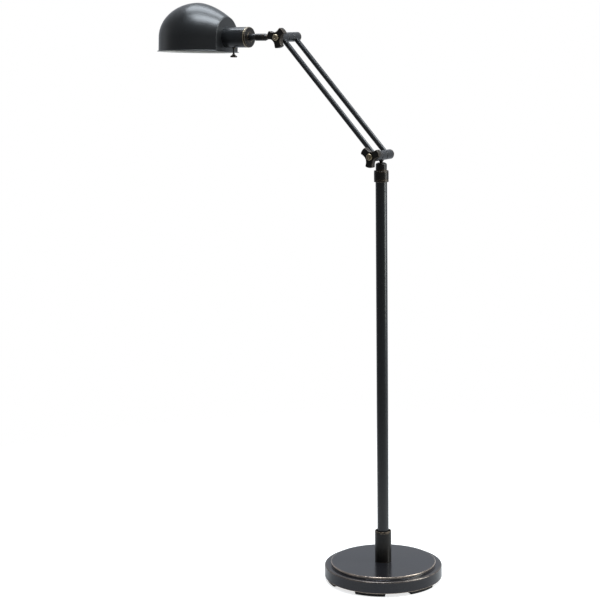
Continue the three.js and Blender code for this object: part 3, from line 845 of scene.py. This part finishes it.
def make_lower_knuckle():
    low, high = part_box("lower_knuckle")
    radius = high.z - LOWER_HINGE.z
    _, _, cap_top = span("swivel_cap", FLOOR, UP)
    knuckle = knuckle_barrel("lower_knuckle_fine", LOWER_HINGE, radius, high.y)
    neck = cap_top - LOWER_HINGE.z
    corners = [
        (0, low.z - LOWER_HINGE.z),
        (SWIVEL_PIN, low.z - LOWER_HINGE.z, EASED),
        (SWIVEL_PIN, neck, SOFT),
        (CONE_RADIUS, -radius),
        (CONE_RADIUS, STEM_LAP - radius),
        (0, STEM_LAP - radius),
    ]
    combine(knuckle, turned("stem", corners, LOWER_HINGE, UP, MEDIUM), "UNION")
    bore(knuckle, SCREW_RADIUS + FIT, -high.y - MM, high.y + MM, LOWER_HINGE, HINGE)
    stand_for(knuckle, "lower_knuckle")


# ---- Barrel joints and arm ----


def make_barrel(end, side, hinge, rod_node, rod_way):
    """Outer section of a barrel, with its blind hole for a rod."""
    node = f"{end}_{side}_barrel"
    radius, start, stop = span(node, hinge, HINGE)
    screw = SCREW_RADIUS + FIT
    corners = [(screw, start), (radius, start, BARREL_EDGE), (radius, stop, BARREL_EDGE), (screw, stop)]
    barrel = turned(f"{node}_fine", corners, hinge, HINGE, FINE)
    low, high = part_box(rod_node)
    offset = Vector((0, (low.y + high.y) / 2, 0))
    rod, seat, _ = span(rod_node, LOWER_HINGE + offset, ARM)
    bore(barrel, rod + FIT, seat - GAP, radius + CUT, hinge + offset, ARM * rod_way)
    stand_for(barrel, node)


def make_washer(node, hinge):
    radius, start, stop = span(node, hinge, HINGE)
    screw = SCREW_RADIUS + FIT
    corners = [(screw, start), (radius, start, FAINT), (radius, stop, FAINT), (screw, stop)]
    turned_for(node, corners, hinge, HINGE)


def make_end_cap(end, hinge):
    node = f"{end}_end_cap"
    radius, start, stop = span(node, hinge, HINGE)
    corners = [(0, start), (radius, start, NEAT), (radius, stop, END_CAP_ROUND), (0, stop)]
    turned_for(node, corners, hinge, HINGE, FINE)


def knob_outline(steps=14, rounds=2):
    """Three flared lobes with hollow flanks, as points about the knob's own axis."""
    tip = KNOB_TIP - KNOB_BEVEL
    third = 2 * math.pi / 3

    def at(radius, angle):
        return Vector((radius * math.cos(angle), radius * math.sin(angle)))

    points = []
    for lobe in range(3):
        middle = lobe * third
        left = at(tip, middle - KNOB_LOBE_HALF)
        right = at(tip, middle + KNOB_LOBE_HALF)
        following = at(tip, middle + third - KNOB_LOBE_HALF)
        top = at(tip + KNOB_BULGE, middle)
        waist = at(KNOB_WAIST, middle + third / 2)
        for start, control, end in ((left, top, right), (right, waist, following)):
            for k in range(steps):
                t = k / steps
                points.append(start * (1 - t) ** 2 + control * (2 * t * (1 - t)) + end * t**2)
    for _ in range(rounds):
        cut = []
        for i, point in enumerate(points):
            after = points[(i + 1) % len(points)]
            cut += [point * 0.75 + after * 0.25, point * 0.25 + after * 0.75]
        points = cut
    return points


def grown(points, distance):
    """An anticlockwise outline moved outwards."""
    moved = []
    for i, point in enumerate(points):
        tangent = (points[(i + 1) % len(points)] - points[i - 1]).normalized()
        moved.append(point + Vector((tangent.y, -tangent.x)) * distance)
    return moved


def make_knob(end, hinge, bevel_steps=6):
    node = f"{end}_clamp_knob"
    low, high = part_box(node)
    back, front = hinge.y - high.y, hinge.y - low.y
    outline = knob_outline()
    sections = [(back, -GUARD), (back, -GUARD / 2)]
    for k in range(bevel_steps + 1):
        angle = math.pi / 2 * k / bevel_steps
        depth = KNOB_BEVEL * (1 - math.cos(angle))
        sections.append((back + depth, KNOB_BEVEL * math.sin(angle)))
    sections += [(back + front - depth, grow) for depth, grow in reversed(sections)]
    turn = KNOB_ANGLES[end]
    across = Vector((math.cos(turn), 0, math.sin(turn)))
    along = Vector((-math.sin(turn), 0, math.cos(turn)))
    loops = []
    for depth, grow in sections:
        points = grown(outline, grow)
        loops.append([hinge + across * point.x + along * point.y - HINGE * depth for point in points])
    knob = stacked(f"{node}_fine", loops)
    button, _, _ = span(f"{end}_knob_button", hinge, -HINGE)
    bore(knob, button + FIT, front - BUTTON_SINK, front + CUT, hinge, -HINGE)
    bore(knob, SCREW_RADIUS + FIT, back - MM, front - SCREW_GRIP / 2, hinge, -HINGE)
    stand_for(knob, node)


def make_button(end, hinge):
    node = f"{end}_knob_button"
    radius, start, crown = span(node, hinge, -HINGE)
    corners = [
        (0, start),
        (radius, start, CRISP),
        *ellipse(radius - BUTTON_ROUND, crown - BUTTON_DOME, BUTTON_ROUND, BUTTON_DOME, 0, 80),
        (DIMPLE_RADIUS + DIMPLE_WALL, crown, NEAT),
        (DIMPLE_RADIUS, crown - DIMPLE_DEPTH + CRISP, NEAT),
        (0, crown - DIMPLE_DEPTH),
    ]
    turned_for(node, corners, hinge, -HINGE, COARSE)


def make_rod(node):
    low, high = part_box(node)
    start = LOWER_HINGE + Vector((0, (low.y + high.y) / 2, 0))
    radius, near, far = span(node, start, ARM)
    inner = radius - ROD_WALL
    corners = [(inner, near), (radius, near, EASED), (radius, far, EASED), (inner, far)]
    turned_for(node, corners, start, ARM, MEDIUM)


# ---- Neck ----


def make_upper_knuckle():
    low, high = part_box("upper_knuckle")
    radius = high.z - UPPER_HINGE.z
    knuckle = knuckle_barrel("upper_knuckle_fine", UPPER_HINGE, radius, high.y)
    _, coupler, _ = span("swivel_coupler", UPPER_HINGE, NECK)
    shoulder = coupler + COUPLER_LAP
    tip = UPPER_HINGE.x - low.x
    corners = [
        (0, radius - STEM_LAP),
        (NECK_STEM, radius - STEM_LAP),
        (NECK_STEM, shoulder, EASED),
        (NECK_PIN, shoulder),
        (NECK_PIN, tip, EASED),
        (0, tip),
    ]
    combine(knuckle, turned("stem", corners, UPPER_HINGE, NECK, MEDIUM), "UNION")
    bore(knuckle, SCREW_RADIUS + FIT, -high.y - MM, high.y + MM, UPPER_HINGE, HINGE)
    stand_for(knuckle, "upper_knuckle")


def make_coupler():
    radius, start, stop = span("swivel_coupler", UPPER_HINGE, NECK)
    mouth = NECK_STEM + FIT
    pin = NECK_PIN + FIT
    shoulder = start + COUPLER_LAP + GAP
    corners = [
        (mouth, start, CRISP),
        (mouth + COUPLER_LIP, start, CRISP),
        (radius, start + COUPLER_CHAMFER, FULL),
        *groove(radius, start + COUPLER_CHAMFER + COUPLER_GROOVE_AT, *COUPLER_GROOVE),
        (radius, stop, EASED),
        (pin, stop),
        (pin, shoulder),
        (mouth, shoulder),
    ]
    turned_for("swivel_coupler", corners, UPPER_HINGE, NECK)


def make_neck_tube():
    radius, start, stop = span("neck_tube", UPPER_HINGE, NECK)
    inner = radius - ROD_WALL
    corners = [(inner, start), (radius, start, EASED), (radius, stop, NEAT), (inner, stop)]
    turned_for("neck_tube", corners, UPPER_HINGE, NECK)


# ---- Socket, bulb and switch ----


def make_socket_end_cap():
    neck, _, _ = span("neck_tube", UPPER_HINGE, NECK)
    inner = neck - ROD_WALL
    near = neck + END_GROOVE_INSET
    far = near + END_GROOVE_WIDTH
    radius, start, stop = span("socket_end_cap", UPPER_HINGE, NECK)
    corners = [
        (inner, start),
        (near, start, EASED),
        (near + END_GROOVE_SLOPE, start + END_GROOVE_DEPTH, CRISP),
        (far - END_GROOVE_SLOPE, start + END_GROOVE_DEPTH, CRISP),
        (far, start, EASED),
        (radius, start, SOCKET_ROUND),
        (radius, stop, NEAT),
        (inner, stop),
    ]
    turned_for("socket_end_cap", corners, UPPER_HINGE, NECK, FINE)


def make_socket_ring():
    radius, start, stop = span("socket_ring", UPPER_HINGE, NECK)
    cup, _, _ = span("socket_cup", UPPER_HINGE, NECK)
    inner = cup - SOCKET_WALL
    corners = [(inner, start), (radius, start, SMOOTH), (radius, stop, SMOOTH), (inner, stop)]
    turned_for("socket_ring", corners, UPPER_HINGE, NECK, FINE)


def make_socket_cup():
    radius, start, stop = span("socket_cup", UPPER_HINGE, NECK)
    inner = radius - SOCKET_WALL
    corners = [
        (inner, start),
        (radius, start, SOFT),
        *groove(radius, start + SOCKET_GROOVE_AT, *SOCKET_GROOVE),
        (radius, stop, EASED),
        (inner, stop, EASED),
    ]
    cup = turned("socket_cup_fine", corners, UPPER_HINGE, NECK, FINE)
    stem, _, _ = span("switch_stem", SWITCH_AT, HEAD_DOWN)
    bore(cup, stem + 2 * FIT, inner - CUT, radius + CUT, SWITCH_AT, HEAD_DOWN)
    stand_for(cup, "socket_cup")


def make_insulator():
    radius, start, stop = span("socket_insulator", UPPER_HINGE, NECK)
    bowl = SHELL_RADIUS + FIT
    floor = start + INSULATOR_WEB
    corners = [
        (INSULATOR_BORE, start),
        (radius, start, FULL),
        (radius, stop, SMOOTH),
        (bowl, stop, FULL),
        (bowl, floor, SOFT),
        (INSULATOR_BORE, floor),
    ]
    turned_for("socket_insulator", corners, UPPER_HINGE, NECK)


def make_bulb_base():
    radius, start, stop = span("bulb_base", UPPER_HINGE, NECK)
    thread = start + BULB_FOOT
    corners = [(0, start), (BULB_TIP, start, FULL), (radius - BULB_TAPER, thread - MM)]
    turns = int((stop - thread - BULB_COLLAR) / THREAD_PITCH)
    for k in range(turns * THREAD_STEPS + 1):
        wave = THREAD_DEPTH * (1 + math.cos(2 * math.pi * k / THREAD_STEPS)) / 2
        corners.append((radius - wave, thread + THREAD_PITCH * k / THREAD_STEPS))
    corners += [(radius, stop, NEAT), (0, stop)]
    turned_for("bulb_base", corners, UPPER_HINGE, NECK)


def make_bulb_glass():
    radius, start, stop = span("bulb_glass", UPPER_HINGE, NECK)
    widest = stop - radius

    def outline(wall, steps=20):
        points = []
        for k in range(steps):
            u = k / steps
            rise = u * u * (3 - 2 * u)
            points.append((BULB_NECK + (radius - BULB_NECK) * rise - wall, start + (widest - start) * u))
        crown = ellipse(0, widest, radius - wall, radius - wall, 0, 90, steps)
        return points + crown[:-1] + [(0, widest + radius - wall)]

    glass = turned("bulb_glass_fine", outline(0) + outline(BULB_WALL)[::-1], UPPER_HINGE, NECK)
    close_ends(glass)
    stand_for(glass, "bulb_glass")


def close_ends(piece):
    """Joins the open mouth of a double wall, whose profile ends at a different radius."""
    shape = bmesh.new()
    shape.from_mesh(piece.data)
    open_edges = [edge for edge in shape.edges if edge.is_boundary]
    bmesh.ops.bridge_loops(shape, edges=open_edges)
    bmesh.ops.recalc_face_normals(shape, faces=shape.faces)
    shape.to_mesh(piece.data)
    shape.free()


def make_switch_bush():
    radius, start, stop = span("switch_bush", SWITCH_AT, HEAD_DOWN)
    stem, _, _ = span("switch_stem", SWITCH_AT, HEAD_DOWN)
    hole = stem + FIT
    corners = [(hole, start), (radius, start, NEAT), (radius, stop, SOFT), (hole, stop, CRISP)]
    turned_for("switch_bush", corners, SWITCH_AT, HEAD_DOWN, COARSE)


def make_switch_stem():
    radius, start, stop = span("switch_stem", SWITCH_AT, HEAD_DOWN)
    corners = [(0, start), (radius, start, NEAT), (radius, stop, NEAT), (0, stop)]
    turned_for("switch_stem", corners, SWITCH_AT, HEAD_DOWN, SLIM)


def make_switch_knob():
    radius, top, bottom = span("switch_knob", SWITCH_AT, HEAD_DOWN)
    stem, _, _ = span("switch_stem", SWITCH_AT, HEAD_DOWN)
    hole = stem + FIT
    neck = hole + SWITCH_WALL
    corners = [
        (0, bottom),
        *ellipse(radius - SWITCH_EDGE, bottom - SWITCH_EDGE, SWITCH_EDGE, SWITCH_EDGE, 90, -60),
        (neck + SWITCH_FLARE, top + SWITCH_COLLAR + SWITCH_RISE, SWITCH_SWEEP),
        (neck, top + SWITCH_COLLAR, SOFT),
        (neck, top, EASED),
        (hole, top),
        (hole, top + SWITCH_SOCKET),
        (0, top + SWITCH_SOCKET),
    ]
    turned_for("switch_knob", corners, SWITCH_AT, HEAD_DOWN, MEDIUM)


# ---- Shade ----


def shade_stations(back, tip, top, slope_steps=16, nose_steps=34):
    """The shade's half-profile as (along, radius), from its flat back round the crease to the nose."""
    wide = back + SHADE_SLOPE_LENGTH
    slope = []
    for k in range(slope_steps):
        along = k / slope_steps
        rise = 1 - (1 - along) ** SHADE_SLOPE
        radius = SHADE_BACK_RADIUS + (top - SHADE_BACK_RADIUS) * rise
        slope.append((radius, back + (wide - back) * along))
    crease = (*slope[0], SHADE_CREASE)
    front = ellipse(0, wide, top, tip - wide, 0, 90, nose_steps)
    points = rounded([(0, back), crease, *slope[1:], *front])
    return [(along, radius) for radius, along in points[1:-1]] + [(tip, 0.0)]


def head_point(vertices, along, side, up):
    """Adds a point given by its distances from the upper hinge, and returns its index."""
    vertices.append(UPPER_HINGE + NECK * along + HEAD_SIDE * side - HEAD_DOWN * up)
    return len(vertices) - 1


def add_arches(vertices, faces, stations, lip_top, arc_steps=64, skirt_rows=4):
    """The dome and its straight skirts, as an arch over the neck at each station."""
    rows = []
    for along, radius in stations:
        half = SHADE_WIDTH_SHARE * radius
        downs = [-lip_top * (1 - k / skirt_rows) for k in range(skirt_rows)]
        row = [head_point(vertices, along, -half, down) for down in downs]
        for k in range(arc_steps + 1):
            angle = math.pi * (1 - k / arc_steps)
            row.append(head_point(vertices, along, half * math.cos(angle), radius * math.sin(angle)))
        row += [head_point(vertices, along, half, down) for down in reversed(downs)]
        rows.append(row)
    for one, two in zip(rows, rows[1:]):
        for k in range(len(one) - 1):
            faces.append((one[k], one[k + 1], two[k + 1], two[k]))
    return rows


def add_back_plate(vertices, faces, loop, back, plate_steps=5):
    """The flat back, in rings that shrink from the shade's outline to the hole for the socket."""
    socket, _, _ = span("socket_cup", UPPER_HINGE, NECK)
    rings = [loop]
    for step in range(1, plate_steps + 1):
        share = step / plate_steps
        ring = []
        for index in loop:
            offset = vertices[index] - UPPER_HINGE
            side, up = offset.dot(HEAD_SIDE), -offset.dot(HEAD_DOWN)
            reach = (socket + FIT) / math.hypot(side, up)
            factor = 1 + (reach - 1) * share
            ring.append(head_point(vertices, back, side * factor, up * factor))
        rings.append(ring)
    for one, two in zip(rings, rings[1:]):
        for k in range(len(one)):
            n = (k + 1) % len(one)
            faces.append((one[n], one[k], two[k], two[n]))


def add_lip(vertices, faces, rim, centre, lip_steps=6):
    """The rim's edge, rolled outwards, with a short flange at its end."""
    outward = []
    for k in range(len(rim)):
        before, after = vertices[rim[k - 1]], vertices[rim[(k + 1) % len(rim)]]
        normal = (after - before).cross(HEAD_DOWN).normalized()
        outward.append(normal if normal.dot(vertices[rim[k]] - centre) > 0 else -normal)
    angles = [LIP_SWEEP * step / lip_steps for step in range(1, lip_steps + 1)]
    steps = [(LIP_RADIUS * (1 - math.cos(a)), LIP_RADIUS * math.sin(a)) for a in angles]
    out, down = steps[-1]
    steps.append((out + LIP_FLANGE_OUT, down + LIP_FLANGE_DOWN))
    previous = rim
    for out, down in steps:
        ring = []
        for k, index in enumerate(rim):
            vertices.append(vertices[index] + outward[k] * out + HEAD_DOWN * down)
            ring.append(len(vertices) - 1)
        for k in range(len(rim)):
            n = (k + 1) % len(rim)
            faces.append((previous[k], previous[n], ring[n], ring[k]))
        previous = ring


def make_shade(edge_steps=12):
    _, first, last = span("shade", UPPER_HINGE, NECK)
    back, tip = first + SHADE_BEAD, last - SHADE_BEAD
    top = max((v.co - UPPER_HINGE).dot(-HEAD_DOWN) for v in frame["nodes"]["shade"].data.vertices)
    stations = shade_stations(back, tip, top - SHADE_INSET)
    lip_top = SHADE_SKIRT - LIP_RADIUS - LIP_CLEAR
    vertices = []
    faces = []
    rows = add_arches(vertices, faces, stations, lip_top)
    half = SHADE_WIDTH_SHARE * stations[0][1]
    sides = [half * (1 - 2 * k / edge_steps) for k in range(1, edge_steps)]
    bottom = [head_point(vertices, back, side, -lip_top) for side in sides]
    add_back_plate(vertices, faces, rows[0] + bottom, back)
    rim = [row[0] for row in rows] + [row[-1] for row in rows[-2::-1]] + bottom
    add_lip(vertices, faces, rim, UPPER_HINGE + NECK * (back + SHADE_SLOPE_LENGTH))

    shade = mesh_object("shade_fine", vertices, faces)
    finish_sheet(shade)
    shade.data.materials.append(MATERIALS["shade_bronze"])
    shade.data.materials.append(ENAMEL)
    thick = shade.modifiers.new("thick", "SOLIDIFY")
    thick.thickness = SHADE_SHEET
    thick.offset = -1
    thick.material_offset = 1
    thick.material_offset_rim = 0
    bake(shade)
    stand_for(shade, "shade")


def finish_sheet(piece):
    """Merges the doubled points of an open sheet and turns its faces the same way, outwards."""
    shape = bmesh.new()
    shape.from_mesh(piece.data)
    bmesh.ops.remove_doubles(shape, verts=shape.verts, dist=SAME_POINT)
    bmesh.ops.recalc_face_normals(shape, faces=shape.faces)
    highest = max(shape.faces, key=lambda face: face.calc_center_median().z)
    if highest.normal.z < 0:
        bmesh.ops.reverse_faces(shape, faces=shape.faces)
    shape.to_mesh(piece.data)
    shape.free()


def make_shade_ring():
    radius, start, stop = span("shade_ring", UPPER_HINGE, NECK)
    socket, _, _ = span("socket_cup", UPPER_HINGE, NECK)
    inner = socket + FIT
    corners = [(inner, start), (radius, start, SOFT), (radius, stop, SOFT), (inner, stop, SOFT)]
    turned_for("shade_ring", corners, UPPER_HINGE, NECK)


# ---- Inner pieces that keep their CAD shape ----


def dress_cad_nodes():
    for name, node in frame["nodes"].items():
        if node.hide_render:
            continue
        node.data.materials.clear()
        node.data.materials.append(MATERIALS[SLOT_OF[name]])


# ---- Studio ----

FLOOR_RADIUS = 4.0
FLOOR_GREY = (0.5, 0.5, 0.5, 1)
FLOOR_GLOW = 0.1
FLOOR_GLOW_SEEN = 0.75
FADE_FROM = 0.5
FADE_TO = 1.6
WHITE = (1, 1, 1, 1)
SKY = (0.86, 0.93, 1)
ROOM_DIM = (0.15, 0.155, 0.16, 1)
ROOM_BRIGHT = (0.50, 0.53, 0.58, 1)
ROOM_DIM_AT = -0.2
ROOM_BRIGHT_AT = 0.9
ROOM_TURN = 0.45
BACK = Vector((LOOK.x, LOOK.y, 0)).normalized()
HEAD_MIDDLE = UPPER_HINGE + NECK * 0.25
POLE_MIDDLE = UP * 0.75
POLE_UPPER = UP * 1.05


def make_floor():
    """A pale disc that glows for the camera, fades out to the white world and is clear from below."""
    turns = [2 * math.pi * k / MEDIUM for k in range(MEDIUM)]
    ring = [(FLOOR_RADIUS * math.cos(turn), FLOOR_RADIUS * math.sin(turn), 0) for turn in turns]
    floor = mesh_object("floor", ring, [tuple(range(MEDIUM))])
    shader = Shader("floor_paint", Roughness=0.9, Base_Color=FLOOR_GREY, Emission_Color=WHITE)
    seen = shader.add("ShaderNodeLightPath").outputs["Is Camera Ray"]
    shader.drive(Emission_Strength=shader.ramp(seen, 0, 1, FLOOR_GLOW, FLOOR_GLOW_SEEN))
    clear = shader.add("ShaderNodeBsdfTransparent")
    away = shader.add("ShaderNodeVectorMath", {0: shader.place()}, operation="LENGTH")
    fade = shader.ramp(away.outputs["Value"], FADE_FROM, FADE_TO, to_low=1, to_high=0)
    behind = shader.add("ShaderNodeNewGeometry").outputs["Backfacing"]
    share = shader.math("MULTIPLY", fade, shader.math("SUBTRACT", 1.0, behind))
    surfaces = {0: share, 1: clear.outputs[0], 2: shader.surface.outputs[0]}
    blend = shader.add("ShaderNodeMixShader", surfaces)
    output = shader.tree.nodes["Material Output"]
    shader.tree.links.new(blend.outputs[0], output.inputs["Surface"])
    floor.data.materials.append(shader.material)


def around(centre, right=0.0, back=0.0, up=0.0):
    """A point that many metres away from centre, right and back being the camera's."""
    return centre + LOOK_RIGHT * right + BACK * back + UP * up


def make_light(name, at, towards, size, radiance, color):
    """A soft box of width and height size, with the given radiance."""
    data = bpy.data.lights.new(name, "AREA")
    data.shape = "RECTANGLE"
    data.size, data.size_y = size
    data.energy = radiance * math.pi * size[0] * size[1]
    data.color = color
    light = bpy.data.objects.new(name, data)
    light.location = at
    light.rotation_euler = (towards - at).to_track_quat("-Z", "Y").to_euler()
    light.visible_camera = False
    bpy.context.scene.collection.objects.link(light)


def make_world():
    """White where the camera sees it, and a dimmer room, lighter at the back, for all other rays."""
    world = bpy.data.worlds.new("studio")
    bpy.context.scene.world = world
    world.use_nodes = True
    tree = world.node_tree
    tree.nodes.clear()
    direction = tree.nodes.new("ShaderNodeTexCoord")
    behind = tree.nodes.new("ShaderNodeVectorMath")
    behind.operation = "DOT_PRODUCT"
    behind.inputs[1].default_value = (BACK + LOOK_RIGHT * ROOM_TURN).normalized()
    tree.links.new(direction.outputs["Generated"], behind.inputs[0])
    share = tree.nodes.new("ShaderNodeMapRange")
    share.inputs["From Min"].default_value = ROOM_DIM_AT
    share.inputs["From Max"].default_value = ROOM_BRIGHT_AT
    tree.links.new(behind.outputs["Value"], share.inputs["Value"])
    room = tree.nodes.new("ShaderNodeMix")
    room.data_type = "RGBA"
    room.inputs[6].default_value = ROOM_DIM
    room.inputs[7].default_value = ROOM_BRIGHT
    tree.links.new(share.outputs["Result"], room.inputs["Factor"])
    dim = tree.nodes.new("ShaderNodeBackground")
    tree.links.new(room.outputs[2], dim.inputs["Color"])
    white = tree.nodes.new("ShaderNodeBackground")
    white.inputs["Color"].default_value = WHITE
    rays = tree.nodes.new("ShaderNodeLightPath")
    choose = tree.nodes.new("ShaderNodeMixShader")
    tree.links.new(rays.outputs["Is Camera Ray"], choose.inputs[0])
    tree.links.new(dim.outputs[0], choose.inputs[1])
    tree.links.new(white.outputs[0], choose.inputs[2])
    output = tree.nodes.new("ShaderNodeOutputWorld")
    tree.links.new(choose.outputs[0], output.inputs["Surface"])


def make_studio():
    make_floor()
    make_world()
    at = around(HEAD_MIDDLE, back=0.75, up=1.9)
    make_light("top_back", at, HEAD_MIDDLE, size=(1.7, 1.0), radiance=6.5, color=SKY)
    at = around(HEAD_MIDDLE, back=-0.65, up=1.95)
    make_light("top_front", at, HEAD_MIDDLE, size=(1.4, 0.8), radiance=14, color=SKY)
    at = around(POLE_MIDDLE, right=2.4, back=-0.5, up=0.5)
    make_light("right", at, POLE_MIDDLE, size=(0.9, 2.2), radiance=6.0, color=(0.94, 1, 0.97))
    at = around(POLE_MIDDLE, right=1.6, up=1.9)
    make_light("right_high", at, POLE_UPPER, size=(1.0, 1.2), radiance=11.0, color=(0.90, 0.97, 1))
    at = around(HEAD_MIDDLE, right=-2.0, back=0.8)
    make_light("left_back", at, HEAD_MIDDLE, size=(0.8, 1.4), radiance=0.3, color=(0.93, 0.97, 1))
    bpy.context.scene.view_settings.view_transform = "Standard"


make_base_shell()
make_bottom_cover()
for number in range(1, FOOT_COUNT + 1):
    make_foot_pad(f"foot_pad_{number}")
make_cord_bushing()
make_base_collar()
make_pole_tube()
make_top_collar()
make_swivel_cap()
make_lower_knuckle()
for end, hinge, way in (("lower", LOWER_HINGE, 1), ("upper", UPPER_HINGE, -1)):
    for side in ("near", "far"):
        make_barrel(end, side, hinge, f"{side}_rod", way)
        make_washer(f"{end}_{side}_washer", hinge)
    make_end_cap(end, hinge)
    make_knob(end, hinge)
    make_button(end, hinge)
make_rod("near_rod")
make_rod("far_rod")
make_upper_knuckle()
make_coupler()
make_neck_tube()
make_socket_end_cap()
make_socket_ring()
make_socket_cup()
make_insulator()
make_bulb_base()
make_bulb_glass()
make_switch_bush()
make_switch_stem()
make_switch_knob()
make_shade()
make_shade_ring()
dress_cad_nodes()
make_studio()
